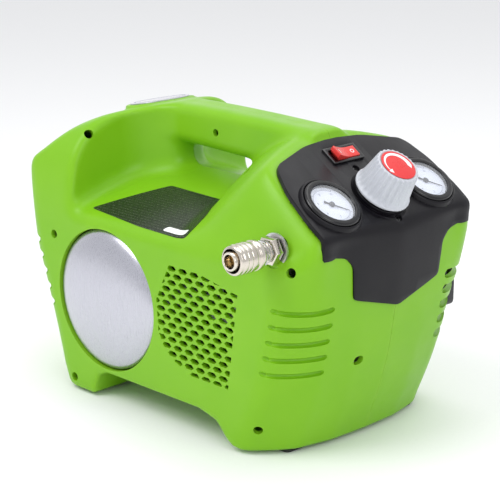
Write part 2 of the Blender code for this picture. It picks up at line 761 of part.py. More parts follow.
def build_tank(parent):
    frame = along_y(TANK_X, TANK_Z)

    def shell(radius, straight, dome, sign, steps=4):
        points = [(radius * math.cos(a), sign * (straight + dome * math.sin(a)))
                  for a in (math.pi / 2 * i / steps for i in range(steps + 1))]
        return [(0.0 if r < 1e-6 else r, h) for r, h in points]

    outer = shell(TANK_R, TANK_END - 14, 14, -1)[::-1] + shell(TANK_R, TANK_END - 14, 14, 1)
    inner = shell(TANK_R - 2, TANK_END - 15, 13, 1)[::-1] + shell(TANK_R - 2, TANK_END - 15, 13, -1)
    tank = solid(lathe(outer, frame, 32))
    cavity = lathe(inner[::-1], frame, 32)
    cut(tank, cavity)
    ports = [rod(upright(TANK_X, y), 4.0, 140, 175, 12) for y in (-30, 30)]
    ports.append(rod(upright(TANK_X, 0), 4.0, 20, 50, 12))
    cut(tank, *ports)
    clean(tank)
    finish_as(tank, "air_tank", SILVER, parent)

    saddle = solid(box(-92, -23, -56, 56, 30.3, 58))
    cut(saddle, rod(frame, TANK_R + GAP, -80, 80, 32), box(-100, -10, -44, 44, 20, 80))
    bars = [box(x, x + 8, -50, 50, 30.3, 36) for x in (-92, -31)]
    join(saddle, *bars)
    clean(saddle)
    finish_as(saddle, "tank_saddle", GREEN, parent)

    valve = ((2, 33.6), (2, 12), (3.4, 12), (3.4, 19), (7, 19), (7, 24), (8.4, 24), (8.4, 31.4), (3.4, 31.4),
             (3.4, 33.6))
    make("drain_valve_body", lathe(valve, upright(TANK_X, 0), 12), BRASS, parent)
    tap = pivot("drain_petcock_pivot", upright(TANK_X, 0), parent)
    wing = solid(rod(Matrix.Identity(4), 6.5, 11.5 - 6, 17.5, 12))
    cut(wing, rod(Matrix.Identity(4), 3.7, 11.7, 30, 12))
    join(wing, box(-11, 11, -1.5, 1.5, 6, 16))
    cut(wing, rod(Matrix.Identity(4), 3.7, 11.7, 30, 12))
    clean(wing)
    finish_as(wing, "drain_petcock", BRASS, tap)

    top = TANK_Z + TANK_R
    check = ((2.2, -4), (3.7, -4), (3.7, GAP + 0.4), (7.5, GAP + 0.4), (7.5, 7), (5, 8), (5, 12), (2.2, 12))
    make("check_valve", lathe(check, upright(TANK_X, -30, top), 12), BRASS, parent)


def build_air_lines(parent):
    top = TANK_Z + TANK_R + 12 + GAP
    head = (CRANK_X - 12, ROD_Y + 8, CYLINDER_TOP_Z + 14)
    delivery = smooth_path((head, (head[0], head[1], head[2] + 7), (30, -50, 174), (-30, -36, 178),
                            (TANK_X, -30, top + 7), (TANK_X, -30, top + 1.5)))
    make("delivery_tube", tube(delivery, 3, 6), COPPER, parent)
    port = panel_frame(2, 30, -47).translation
    out = smooth_path(((TANK_X, 30, top - 4), (TANK_X, 30, top + 6), (-20, 34, 178), (40, 34, 174), (90, 32, 160),
                       (port.x - 4, 30, port.z - 10), tuple(port)))
    outlet = solid(tube(out, 3, 6))
    union = ((0, -4), (3.7, -4), (3.7, GAP + 0.4), (7.5, GAP + 0.4), (7.5, 7), (5, 8), (5, 12), (0, 12))
    join(outlet, lathe(union, upright(TANK_X, 30, TANK_Z + TANK_R), 12))
    finish_as(clean(outlet), "outlet_tube", COPPER, parent)


# ---------------------------------------------------------------- pump and motor

def gear_outline(teeth, height):
    """Trapezoid teeth with room for backlash; one tooth is centred on local +X."""
    pitch = teeth * MODULE / 2
    step = 2 * math.pi / teeth
    points = []
    for i in range(teeth):
        a = i * step
        for r, f in ((pitch - 1.55, -0.30), (pitch + 1.1, -0.10), (pitch + 1.1, 0.10), (pitch - 1.55, 0.30)):
            points.append((r * math.cos(a + f * step), r * math.sin(a + f * step), height))
    return points


def build_pump(parent):
    crank_line = along_y(CRANK_X, CRANK_Z)
    bracket = solid(box(58, 104, -44, -40, ARCH_TOP_Z + WALL + GAP, CYLINDER_Z - GAP))
    join(bracket, box(100, 144, -44, -40, 14, CYLINDER_Z - GAP))
    join(bracket, box(55, 113, -90, -40, CYLINDER_Z - 5, CYLINDER_Z - GAP))
    cut(bracket, rod(along_y(MOTOR_X, MOTOR_Z), 11.5, -60, -20, 20), rod(upright(CRANK_X, ROD_Y), 17, 90, 120, 20),
        rod(crank_line, 4.3, -60, -20, 16))
    clean(bracket)
    finish_as(bracket, "pump_bracket", ALLOY, parent)
    axle = ((0, -55.6), (4, -55.6), (4, -39.7), (6.5, -39.7), (6.5, -37.5), (0, -37.5))
    make("crank_axle", lathe(axle, crank_line, 16), STEEL, parent)

    base = upright(CRANK_X, ROD_Y)
    fins = [(19, CYLINDER_Z)]
    for i in range(5):
        z = CYLINDER_Z + i * 9
        fins += [(26, z), (26, z + 3.2), (22, z + 3.6), (22, z + 8.8)]
    fins = [p for p in fins[:-2]] + [(26, CYLINDER_TOP_Z), (19, CYLINDER_TOP_Z)]
    make("cylinder", lathe(fins, base, 18), ALLOY, parent)
    head = solid(box(CRANK_X - 25, CRANK_X + 25, ROD_Y - 25, ROD_Y + 25, CYLINDER_TOP_Z + GAP, CYLINDER_TOP_Z + 12))
    slots = [box(CRANK_X - 30, CRANK_X + 30, ROD_Y + y, ROD_Y + y + 5, CYLINDER_TOP_Z + 6, CYLINDER_TOP_Z + 20)
             for y in (-20, -10)]
    cut(head, *slots)
    clean(head)
    finish_as(head, "cylinder_head", ALLOY, parent)

    slide = pivot("piston_pivot", upright(CRANK_X, ROD_Y, WRIST_Z), parent)
    piston = solid(rod(Matrix.Identity(4), 18.6, -8, 12, 24))
    cut(piston, rod(Matrix.Identity(4), 14.5, -12, 8.6, 20), rod(along_y(0, 0), 3.4, -30, 30, 12))
    clean(piston)
    finish_as(piston, "piston", ALLOY, slide)
    make("wrist_pin", rod(along_y(0, 0), 3.1, -17, 17, 12), STEEL, slide)
    link = solid(prism(((-5, 0), (-4, -ROD_LENGTH), (4, -ROD_LENGTH), (5, 0)), "Y", -3, 3))
    join(link, rod(along_y(0, 0), 7.8, -5, 5, 16), rod(along_y(0, -ROD_LENGTH), 9.5, -4, 4, 16))
    cut(link, rod(along_y(0, 0), 3.4, -30, 30, 12), rod(along_y(0, -ROD_LENGTH), 5.3, -30, 30, 16))
    clean(link)
    finish_as(link, "connecting_rod", ALLOY, slide)

    crank = pivot("crank_pivot", axis_frame((CRANK_X, 0, CRANK_Z), (0, -1, 0), across=(0, 0, 1)), parent)
    mesh_angle = gear_phase()
    gear = solid(loft([gear_outline(TEETH_GEAR, 47.0), gear_outline(TEETH_GEAR, 53.0)]))
    gear.data.transform(Matrix.Rotation(mesh_angle, 4, "Z"))
    cut(gear, rod(Matrix.Identity(4), 4.1, 30, 70, 16))
    join(gear, rod(crank_pin_frame(), 5.0, 52, 57.4, 16))
    clean(gear)
    finish_as(gear, "crank_gear", STEEL, crank)

    motor_line = along_y(MOTOR_X, MOTOR_Z)
    can = ((3.4, -39.7), (22, -39.7), (22, 26), (3.4, 26), (3.4, 24), (20, 24), (20, -37.7), (3.4, -37.7))
    make("motor_can", lathe(can, motor_line, 24), STEEL, parent)
    spin = pivot("armature_pivot", axis_frame((MOTOR_X, 0, MOTOR_Z), (0, -1, 0), across=(0, 0, 1)), parent)
    make("motor_shaft", rod(Matrix.Identity(4), 2.5, -40, 54, 12), STEEL, spin)
    make("motor_armature", ring(Matrix.Identity(4), 16, 2.8, -18, 30, 20), COPPER, spin)
    pinion = solid(loft([gear_outline(TEETH_PINION, 46.5), gear_outline(TEETH_PINION, 53.5)]))
    pinion.data.transform(Matrix.Rotation(pinion_phase(), 4, "Z"))
    cut(pinion, rod(Matrix.Identity(4), 2.8, 30, 70, 12))
    clean(pinion)
    finish_as(pinion, "motor_pinion", STEEL, spin)
    fan = solid(rod(Matrix.Identity(4), 7, -38, -29, 14))
    for i in range(7):
        blade = box(5, 22, -0.7, 0.7, -4, 4)
        turn = Matrix.Rotation(2 * math.pi * i / 7, 4, "Z") @ Matrix.Translation((0, 0, -33.5))
        moved(blade, turn @ Matrix.Rotation(math.radians(28), 4, "X"))
        join(fan, blade)
    cut(fan, rod(Matrix.Identity(4), 2.8, -60, 0, 12))
    clean(fan)
    finish_as(fan, "cooling_fan", BLACK, spin)


def mesh_direction():
    """Angle, in the crank's frame, from the crank axis to the motor axis."""
    frame = axis_frame((CRANK_X, 0, CRANK_Z), (0, -1, 0), across=(0, 0, 1))
    local = frame.inverted() @ Vector((MOTOR_X, 0, MOTOR_Z))
    return math.atan2(local.y, local.x)


def gear_phase():
    """A tooth of the crank gear points at the motor axis."""
    return mesh_direction()


def pinion_phase():
    """A gap of the pinion faces the crank axis."""
    return mesh_direction() + math.pi + math.pi / TEETH_PINION


def crank_pin_frame():
    """At rest the crank pin is straight down, at the bottom of the stroke."""
    frame = axis_frame((CRANK_X, 0, CRANK_Z), (0, -1, 0), across=(0, 0, 1))
    low = frame.inverted() @ Vector((CRANK_X, 0, CRANK_Z - CRANK_THROW))
    return Matrix.Translation((low.x, low.y, 0))


# ---------------------------------------------------------------- battery, wiring and small pieces

def build_battery(parent):
    x0, x1, y0, y1, z0, z1 = BATTERY
    carrier = pivot("battery_pivot", upright((x0 + x1) / 2, y0, (z0 + z1) / 2), parent)
    half_x, half_z, depth = (x1 - x0) / 2, (z1 - z0) / 2, y1 - y0
    pack = solid(prism(((-half_x, -half_z + 5), (-half_x + 5, -half_z), (half_x - 5, -half_z),
                        (half_x, -half_z + 5), (half_x, half_z - 5), (half_x - 5, half_z),
                        (-half_x + 5, half_z), (-half_x, half_z - 5)), "Y", 0.5, depth))
    cut(pack, box(-half_x + 8, -half_x + 13, -5, 14, -14, 14), box(half_x - 13, half_x - 8, -5, 14, -14, 14),
        box(-10, 10, depth - 5, depth + 5, half_z - 12, half_z + 5))
    clean(pack)
    finish_as(pack, "battery_pack", BLACK, carrier)
    press = pivot("battery_latch_pivot", upright(0, depth, half_z - 6), carrier)
    make("battery_latch", box(-9.5, 9.5, -4.6, 0, -2.5, 4.5), RED, press)

    dock = solid(box(x0 + 4, x1 - 4, y0 - 8, y0 - GAP, z0 + 6, z1 - 6))
    mid_x, mid_z = (x0 + x1) / 2, (z0 + z1) / 2
    join(dock, *[box(mid_x + side * (half_x - 10.5) - 1.8, mid_x + side * (half_x - 10.5) + 1.8, y0 - 2, y0 + 12,
                     mid_z - 13, mid_z + 13) for side in (-1, 1)])
    clean(dock)
    finish_as(dock, "battery_dock", BLACK, parent)
    lead = smooth_path(((mid_x, y0 - 8 - GAP, z1 - 14), (mid_x, y0 - 16, z1 - 10), (116, 2, 150), (110, 2, 190),
                        tuple(panel_frame(ROCKER_U, -1, -22).translation + Vector((-3, 0, -6))),
                        tuple(panel_frame(ROCKER_U, -1, -21.4).translation)), 3)
    make("power_lead", tube(lead, 2.2, 6), BLACK, parent)


def build_small_pieces(parent):
    feet = (("foot_front_near", 126, -66), ("foot_front_far", 126, 66),
            ("foot_rear_near", -96, -66), ("foot_rear_far", -96, 66))
    for name, x, y in feet:
        outline = [(x + 9 * math.copysign(abs(math.cos(a)) ** 0.6, math.cos(a)),
                    y + 14 * math.copysign(abs(math.sin(a)) ** 0.6, math.sin(a)))
                   for a in (2 * math.pi * k / 16 for k in range(16))]
        make(name, prism(outline, "Z", 0.0, BASE_Z - GAP), RUBBER, parent)

    badge = ellipse_plate(badge_frame(0, 0, 3 + GAP), 16.5, 33, 0, 0.8, 24)
    make("badge_plate", badge, SILVER, parent)

    outline = ((-88, -98), (-45, -43), (20, -45), (42, -82), (39, -105), (-20, -104.5))
    label = keep(solid(prism(outline, "Z", 100, 260)), lower_body(-GAP - 0.6))
    cut(label, lower_body(-GAP), front_hump(-GAP))
    finish_as(clean(label), "rating_label", BLACK, parent)

    manifold_end = panel_frame(4, -40, -36)
    body = ((0, 9 + GAP), (5, 9 + GAP), (5, 14), (6.5, 14), (6.5, 24), (2.4, 24), (2.4, 14), (0, 14))
    side = axis_frame(tuple(manifold_end.translation), (-math.cos(PANEL_TILT), 0, math.sin(PANEL_TILT)))
    shifted = side @ Matrix.Translation((0, 0, 12 + GAP - 9))
    make("safety_valve_body", lathe(body, shifted, 12), BRASS, parent)
    pull = pivot("safety_valve_pivot", shifted, parent)
    stem = solid(rod(Matrix.Identity(4), 2.1, 16, 27, 10))
    join(stem, ring(along_y(0, 31), 5, 3.4, -0.9, 0.9, 14))
    clean(stem)
    finish_as(stem, "safety_valve_pull", STEEL, pull)

    switch = moved(box(-11, 11, 28, 58, -12, 12), upright(60, 0, 130))
    make("pressure_switch", switch, BLACK, parent)


def main():
    clear_scene()
    assembly = bpy.data.objects.new("air_compressor", None)
    bpy.context.collection.objects.link(assembly)
    assembly.location = (SHIFT_X * MM, SHIFT_Y * MM, 0.0)
    build_housing(assembly)
    build_panel(assembly)
    build_manifold(assembly)
    gauge("tank_gauge", -GAUGE_Y, assembly)
    gauge("outlet_gauge", GAUGE_Y, assembly)
    build_regulator(assembly)
    build_switch(assembly)
    build_coupler(assembly)
    build_tank(assembly)
    build_air_lines(assembly)
    build_pump(assembly)
    build_battery(assembly)
    build_small_pieces(assembly)


main()
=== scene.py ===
"""Looks for the cordless air compressor: fine pieces, materials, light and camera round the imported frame.

Shapes are worked out in millimetres in the housing's own frame: X along the length (+X at the control
panel), Y across with the parting line at 0 and the quick coupler at -Y, Z up from the floor.
"""
import json
import math

import bmesh
import bpy
import numpy as np
from mathutils import Matrix, Vector


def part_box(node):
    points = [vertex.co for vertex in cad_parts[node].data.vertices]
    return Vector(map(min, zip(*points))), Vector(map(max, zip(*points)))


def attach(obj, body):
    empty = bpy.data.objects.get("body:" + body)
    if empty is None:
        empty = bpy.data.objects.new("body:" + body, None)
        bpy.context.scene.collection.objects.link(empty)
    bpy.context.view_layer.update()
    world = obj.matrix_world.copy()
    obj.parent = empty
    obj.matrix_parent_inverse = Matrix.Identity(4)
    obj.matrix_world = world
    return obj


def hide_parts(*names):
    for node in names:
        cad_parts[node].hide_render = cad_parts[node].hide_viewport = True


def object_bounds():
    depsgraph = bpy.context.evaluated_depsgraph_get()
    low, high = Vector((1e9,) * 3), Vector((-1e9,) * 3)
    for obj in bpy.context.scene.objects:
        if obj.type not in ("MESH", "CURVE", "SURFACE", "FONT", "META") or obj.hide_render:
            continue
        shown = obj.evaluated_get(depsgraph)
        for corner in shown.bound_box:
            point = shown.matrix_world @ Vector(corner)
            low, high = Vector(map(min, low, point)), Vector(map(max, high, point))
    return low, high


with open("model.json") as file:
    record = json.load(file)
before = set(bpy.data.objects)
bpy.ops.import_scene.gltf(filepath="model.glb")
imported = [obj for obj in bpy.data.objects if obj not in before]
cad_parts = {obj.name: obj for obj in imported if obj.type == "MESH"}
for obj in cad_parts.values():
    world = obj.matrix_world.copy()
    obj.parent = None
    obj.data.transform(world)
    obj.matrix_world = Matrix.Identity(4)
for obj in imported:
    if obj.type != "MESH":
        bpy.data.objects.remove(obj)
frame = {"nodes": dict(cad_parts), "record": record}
CAD_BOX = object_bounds()

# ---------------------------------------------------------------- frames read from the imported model

HOUSING_TAIL = 0.184
near_low, near_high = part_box("housing_near_half")
far_low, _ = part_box("housing_far_half")
ORIGIN = Vector((near_low.x + HOUSING_TAIL, (near_high.y + far_low.y) / 2, CAD_BOX[0].z))
TO_WORLD = Matrix.Translation(ORIGIN) @ Matrix.Scale(0.001, 4)
MM = 1000.0

# Housing: half its width, the wall, the parting gap, and the grid that its skin is meshed on
SIDE_Y = 111.0
WALL = 4.5
PARTING = -0.15
VOXEL = 2.2

# Tank and coupler: axes along Y
TANK_X = -57.6
TANK_Z = 95.2
TANK_RADIUS = 63.2
TANK_HOLE_RADIUS = 63.8
DRAIN_HOLE_RADIUS = 9.8
COUPLER_X = 144.0
COUPLER_Z = 181.5

# Control panel: a sloped plane with U down the slope
PANEL_TILT = math.radians(35.1)
PANEL_X = 158.0
PANEL_Z = 209.1
GAUGE_Y = 57.7
GAUGE_HOLE_RADIUS = 22.9
KNOB_U = 0.5
ROCKER_U = -47.0
SCREWS_U = (-30.5, 26.5)

# Oval badge on the rear hump
BADGE_SLOPE = math.radians(-9)
BADGE_X = -106.0
BADGE_Z = 248.5

UPRIGHT = Matrix.Identity(4)


def node_box(node):
    """Lowest and highest corner of a CAD node in millimetres, in the housing's frame."""
    return [(corner - ORIGIN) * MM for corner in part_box(node)]


def tilted(angle, x, z, u=0.0, y=0.0, height=0.0):
    """Frame on a plane tilted about Y: local X runs down the slope, local Z leaves the plane."""
    slope = Vector((math.cos(angle), 0, -math.sin(angle)))
    normal = Vector((math.sin(angle), 0, math.cos(angle)))
    matrix = Matrix((slope, Vector((0, 1, 0)), normal)).transposed().to_4x4()
    matrix.translation = Vector((x, y, z)) + slope * u + normal * height
    return matrix


def panel_frame(u=0.0, y=0.0, height=0.0):
    return tilted(PANEL_TILT, PANEL_X, PANEL_Z, u, y, height)


def badge_frame():
    return tilted(BADGE_SLOPE, BADGE_X, BADGE_Z)


def along_y(x, z, sign=-1):
    """Frame whose local Z points along -Y (or +Y)."""
    turn = Matrix.Rotation(math.radians(90 if sign < 0 else -90), 4, "X")
    return Matrix.Translation((x, 0, z)) @ turn


# ---------------------------------------------------------------- mesh helpers

def new_object(name, bm, material=None, sharp=35.0):
    """Object from a bmesh in millimetres, shaded smooth except at edges sharper than `sharp` degrees."""
    bmesh.ops.recalc_face_normals(bm, faces=bm.faces)
    bmesh.ops.transform(bm, matrix=TO_WORLD, verts=bm.verts)
    mesh = bpy.data.meshes.new(name)
    bm.to_mesh(mesh)
    bm.free()
    return from_mesh(name, mesh, material, sharp)


def from_mesh(name, mesh, material=None, sharp=35.0):
    obj = bpy.data.objects.new(name, mesh)
    bpy.context.scene.collection.objects.link(obj)
    mesh.shade_smooth()
    mesh.set_sharp_from_angle(angle=math.radians(sharp))
    if material:
        mesh.materials.append(material)
    return obj


def merged(*shapes):
    """One bmesh that holds several."""
    bm = bmesh.new()
    for shape in shapes:
        mesh = bpy.data.meshes.new("scratch")
        shape.to_mesh(mesh)
        shape.free()
        bm.from_mesh(mesh)
        bpy.data.meshes.remove(mesh)
    return bm


def paint(obj, material):
    """One material over a whole piece."""
    obj.data.materials.clear()
    obj.data.materials.append(material)


def apply_modifiers(obj, sharp):
    """Bake a piece's modifiers into its mesh."""
    bpy.context.view_layer.update()
    graph = bpy.context.evaluated_depsgraph_get()
    result = bpy.data.meshes.new_from_object(obj.evaluated_get(graph))
    obj.modifiers.clear()
    obj.data = result
    result.shade_smooth()
    result.set_sharp_from_angle(angle=math.radians(sharp))


def boolean(target, shape, operation="DIFFERENCE"):
    """Cut, join or intersect a piece with a shape in millimetres."""
    cutter = new_object("cutter", shape)
    modifier = target.modifiers.new("cut", "BOOLEAN")
    modifier.operation = operation
    modifier.solver = "EXACT"
    modifier.object = cutter
    apply_modifiers(target, 30)
    bpy.data.objects.remove(cutter, do_unlink=True)


def soften(obj, width, segments=2, angle=40.0):
    """Rounded edges, so that they catch the light. The width is in metres."""
    modifier = obj.modifiers.new("soften", "BEVEL")
    modifier.width = width
    modifier.segments = segments
    modifier.limit_method = "ANGLE"
    modifier.angle_limit = math.radians(angle)
    modifier.harden_normals = False
    apply_modifiers(obj, 50)


def loft(rings, matrix=UPRIGHT, caps=True):
    """Skin through rings that have the same number of points."""
    bm = bmesh.new()
    rows = [[bm.verts.new(matrix @ Vector(p)) for p in ring] for ring in rings]
    count = len(rows[0])
    for low, high in zip(rows, rows[1:]):
        for i in range(count):
            j = (i + 1) % count
            bm.faces.new((low[i], low[j], high[j], high[i]))
    if caps:
        bm.faces.new(rows[0][::-1])
        bm.faces.new(rows[-1])
    return bm


def prism(outline, matrix, low, high):
    """Outline in local X and Y, from one local height to another."""
    return loft([[(a, b, h) for a, b in outline] for h in (low, high)], matrix)


def plate(outline, y0, y1):
    """Outline in X and Z, from one Y to another."""
    return loft([[(a, y, b) for a, b in outline] for y in (y0, y1)])


def rectangle(x0, y0, x1, y1):
    return (x0, y0), (x1, y0), (x1, y1), (x0, y1)


def box(matrix, x0, x1, y0, y1, z0, z1):
    return prism(rectangle(x0, y0, x1, y1), matrix, z0, z1)


def lathe(profile, matrix, segments=72, ripple=None):
    """Turn a (radius, height) profile about local Z. ripple(radius, height, angle) gives the local radius."""
    bm = bmesh.new()
    rows = []
    for radius, height in profile:
        if radius < 1e-6:
            rows.append([bm.verts.new(matrix @ Vector((0, 0, height)))])
            continue
        ring = []
        for i in range(segments):
            a = 2 * math.pi * i / segments
            r = ripple(radius, height, a) if ripple else radius
            ring.append(bm.verts.new(matrix @ Vector((r * math.cos(a), r * math.sin(a), height))))
        rows.append(ring)
    closed = profile[0][0] > 1e-6 or profile[-1][0] > 1e-6
    after = rows[1:] + rows[:1] if closed else rows[1:]
    for low, high in zip(rows, after):
        if len(low) == 1 and len(high) == 1:
            continue
        for i in range(segments):
            j = (i + 1) % segments
            if len(low) == 1:
                bm.faces.new((low[0], high[j], high[i]))
            elif len(high) == 1:
                bm.faces.new((low[i], low[j], high[0]))
            else:
                bm.faces.new((low[i], low[j], high[j], high[i]))
    return bm


def rod(radius, low, high, matrix, segments):
    """Plain cylinder about local Z."""
    return lathe(((0, low), (radius, low), (radius, high), (0, high)), matrix, segments)


def rounded(profile, radius, steps=3):
    """Profile or outline with each corner replaced by a short arc; a corner on the axis stays."""
    points = [Vector(p) for p in profile]
    count = len(points)
    result = []
    for i, point in enumerate(points):
        before = points[i - 1] - point
        after = points[(i + 1) % count] - point
        on_axis = point.x < 1e-6 and radius < 2
        reach = min(radius, before.length * 0.45, after.length * 0.45)
        if reach < 0.02 or (on_axis and min(abs(before.x), abs(after.x)) < 1e-6):
            result.append(tuple(point))
            continue
        a = point + before.normalized() * reach
        b = point + after.normalized() * reach
        for k in range(steps + 1):
            t = k / steps
            result.append(tuple((1 - t) ** 2 * a + 2 * t * (1 - t) * point + t * t * b))
    return result


def stadium(length, radius):
    """Outline of a slot with round ends, along its first axis."""
    steps = 8
    points = []
    for side, start in ((1, -90), (-1, 90)):
        for k in range(steps + 1):
            a = math.radians(start + 180 * k / steps)
            points.append((side * (length / 2 - radius) + radius * math.cos(a), radius * math.sin(a)))
    return points


def tube(points, radius, segments=12, across=None, squash=1.0):
    """Round bar along points, with domed ends. `squash` scales it along the `across` direction."""
    rings = []
    side = Vector(across) if across else None
    first = (points[0] - points[1]).normalized()
    last = (points[-1] - points[-2]).normalized()
    dome = ((0.95, 0.3), (0.75, 0.66), (0.4, 0.92))
    stations = [(points[0] + first * radius * f, radius * r) for f, r in dome]
    stations += [(p, radius) for p in points]
    stations += [(points[-1] + last * radius * f, radius * r) for f, r in dome[::-1]]
    centres = [s[0] for s in stations]
    count = len(stations)
    for i, (point, r) in enumerate(stations):
        heading = (centres[min(i + 1, count - 1)] - centres[max(i - 1, 0)]).normalized()
        if side is None:
            side = heading.orthogonal().normalized()
        side = (side - heading * side.dot(heading)).normalized()
        other = heading.cross(side)
        rings.append([
            point + r * (side * math.cos(a) * squash + other * math.sin(a))
            for a in (2 * math.pi * k / segments for k in range(segments))
        ])
    return loft(rings)


def smooth_path(points, steps):
    """Curve through points, with this many pieces between two of them."""
    p = [2 * points[0] - points[1]] + points + [2 * points[-1] - points[-2]]
    path = []
    for i in range(1, len(p) - 2):
        for k in range(steps):
            t = k / steps
            path.append(0.5 * (
                2 * p[i] + (p[i + 1] - p[i - 1]) * t
                + (2 * p[i - 1] - 5 * p[i] + 4 * p[i + 1] - p[i + 2]) * t * t
                + (3 * p[i] - p[i - 1] - 3 * p[i + 1] + p[i + 2]) * t ** 3
            ))
    path.append(p[-2])
    return path


# ---------------------------------------------------------------- materials

def node_material(name, colour, roughness, metallic=0.0):
    """A Principled material with object-space coordinates in millimetres ready for its patterns."""
    mat = bpy.data.materials.new(name)
    mat.use_nodes = True
    tree = mat.node_tree
    shader = tree.nodes["Principled BSDF"]
    shader.inputs["Base Color"].default_value = (*colour, 1)
    shader.inputs["Roughness"].default_value = roughness
    shader.inputs["Metallic"].default_value = metallic
    coords = tree.nodes.new("ShaderNodeTexCoord")
    scale = tree.nodes.new("ShaderNodeVectorMath")
    scale.operation = "SCALE"
    scale.inputs["Scale"].default_value = MM
    tree.links.new(coords.outputs["Object"], scale.inputs[0])
    return mat, tree, shader, scale.outputs[0]


def noise(tree, vector, size, detail=3.0, rough=0.5, stretch=None):
    """Noise whose features are about `size` millimetres."""
    if stretch:
        mapping = tree.nodes.new("ShaderNodeMapping")
        mapping.inputs["Scale"].default_value = stretch
        tree.links.new(vector, mapping.inputs["Vector"])
        vector = mapping.outputs[0]
    node = tree.nodes.new("ShaderNodeTexNoise")
    node.inputs["Scale"].default_value = 1.0 / size
    node.inputs["Detail"].default_value = detail
    node.inputs["Roughness"].default_value = rough
    tree.links.new(vector, node.inputs["Vector"])
    return node.outputs["Fac"]


def ramp(tree, value, low, high, a, b):
    """Map a value from low..high to a..b."""
    node = tree.nodes.new("ShaderNodeMapRange")
    node.inputs["From Min"].default_value = low
    node.inputs["From Max"].default_value = high
    node.inputs["To Min"].default_value = a
    node.inputs["To Max"].default_value = b
    tree.links.new(value, node.inputs["Value"])
    return node.outputs["Result"]


def mix_colour(tree, factor, first, second):
    """Blend of two colours; each is a tuple or a socket."""
    node = tree.nodes.new("ShaderNodeMix")
    node.data_type = "RGBA"
    tree.links.new(factor, node.inputs["Factor"])
    colours = [s for s in node.inputs if s.type == "RGBA"]
    for socket, value in zip(colours, (first, second)):
        if isinstance(value, tuple):
            socket.default_value = (*value, 1)
        else:
            tree.links.new(value, socket)
    return [s for s in node.outputs if s.type == "RGBA"][0]


def math_node(tree, operation, a, b=0.0):
    """Math on a socket and a number or a second socket."""
    node = tree.nodes.new("ShaderNodeMath")
    node.operation = operation
    tree.links.new(a, node.inputs[0])
    if isinstance(b, float):
        node.inputs[1].default_value = b
    else:
        tree.links.new(b, node.inputs[1])
    return node.outputs[0]


def link_colour(tree, shader, colour):
    tree.links.new(colour, shader.inputs["Base Color"])


def bump(tree, shader, height, distance, strength=1.0):
    node = tree.nodes.new("ShaderNodeBump")
    node.inputs["Strength"].default_value = strength
    node.inputs["Distance"].default_value = distance
    tree.links.new(height, node.inputs["Height"])
    tree.links.new(node.outputs["Normal"], shader.inputs["Normal"])


def painted_edge_highlight(tree):
    """Mask of the painted highlight: near 1 on convex edges and near 0 elsewhere."""
    geometry = tree.nodes.new("ShaderNodeNewGeometry")
    return ramp(tree, geometry.outputs["Pointiness"], 0.52, 0.60, 0.0, 1.0)


def moulded(name, colour, second, roughness, grain=0.35, depth=0.00006, edge=None, specular=0.5):
    """Injection-moulded plastic: fine spark-eroded grain, soft tone drift and a painted highlight that
    lightens convex edges.
    """
    mat, tree, shader, mm = node_material(name, colour, roughness)
    drift = noise(tree, mm, 55.0, 2.0)
    fine = noise(tree, mm, grain, 2.0, 0.6)
    tone = mix_colour(tree, ramp(tree, drift, 0.35, 0.65, 0.0, 1.0), colour, second)
    # Painted highlight: convex edges are mixed towards the lighter edge colour.
    if edge:
        tone = mix_colour(tree, math_node(tree, "MULTIPLY", painted_edge_highlight(tree), 0.35), tone, edge)
    link_colour(tree, shader, tone)
    smudge = noise(tree, mm, 18.0, 4.0, 0.6)
    rough = math_node(tree, "ADD", ramp(tree, smudge, 0.3, 0.7, roughness - 0.05, roughness + 0.06),
                      ramp(tree, fine, 0.3, 0.7, -0.02, 0.02))
    tree.links.new(rough, shader.inputs["Roughness"])
    bump(tree, shader, fine, depth, 0.5)
    shader.inputs["Specular IOR Level"].default_value = specular
    return mat


def metal(name, colour, second, roughness, stretch=(1, 1, 1), size=0.5, depth=0.00003, tint=30.0):
    """Metal with machining or drawing marks along the unstretched direction."""
    mat, tree, shader, mm = node_material(name, colour, roughness, 1.0)
    drift = noise(tree, mm, tint, 3.0)
    marks = noise(tree, mm, size, 3.0, 0.6, stretch)
    link_colour(tree, shader, mix_colour(tree, ramp(tree, drift, 0.35, 0.65, 0.0, 1.0), colour, second))
    tree.links.new(ramp(tree, marks, 0.3, 0.7, roughness - 0.07, roughness + 0.1), shader.inputs["Roughness"])
    bump(tree, shader, marks, depth, 0.5)
    return mat


# The edge colours are painted highlights on convex edges.
GREEN = moulded("lime_green_plastic", (0.186, 0.455, 0.008), (0.202, 0.475, 0.010), 0.36, 0.5, 0.00005,
                edge=(0.34, 0.62, 0.06), specular=0.3)
BLACK = moulded("black_panel_plastic", (0.0038, 0.0032, 0.0050), (0.0055, 0.0048, 0.0070), 0.34, 0.45,
                0.00004, edge=(0.02, 0.02, 0.024), specular=0.24)
GLOSS_BLACK = moulded("gauge_black_plastic", (0.005, 0.005, 0.006), (0.008, 0.008, 0.009), 0.2, 0.6, 0.00002)
KNOB_GREY = moulded("knob_grey_plastic", (0.50, 0.52, 0.57), (0.56, 0.58, 0.62), 0.42, 0.4, 0.00004,
                    edge=(0.75, 0.76, 0.8))
RED = moulded("red_gloss_plastic", (0.72, 0.035, 0.03), (0.80, 0.06, 0.05), 0.25, 0.8, 0.00002)
RED_PRINT = moulded("red_printed_label", (0.70, 0.022, 0.024), (0.76, 0.035, 0.035), 0.3, 0.3, 0.00001)
WHITE_PRINT = moulded("white_ink", (0.86, 0.86, 0.88), (0.92, 0.92, 0.93), 0.45, 0.3, 0.00001)
BLACK_PRINT = moulded("black_ink", (0.02, 0.02, 0.03), (0.03, 0.03, 0.045), 0.45, 0.3, 0.00001)
GREY_PRINT = moulded("grey_ink", (0.20, 0.22, 0.32), (0.27, 0.29, 0.40), 0.45, 0.3, 0.00001)
RUBBER = moulded("foot_rubber", (0.012, 0.012, 0.012), (0.02, 0.02, 0.02), 0.75, 1.2, 0.0001)
NICKEL = metal("nickel_plated_brass", (0.66, 0.60, 0.52), (0.74, 0.69, 0.62), 0.18, (1, 6, 1), 1.2, 0.00002,
               12.0)
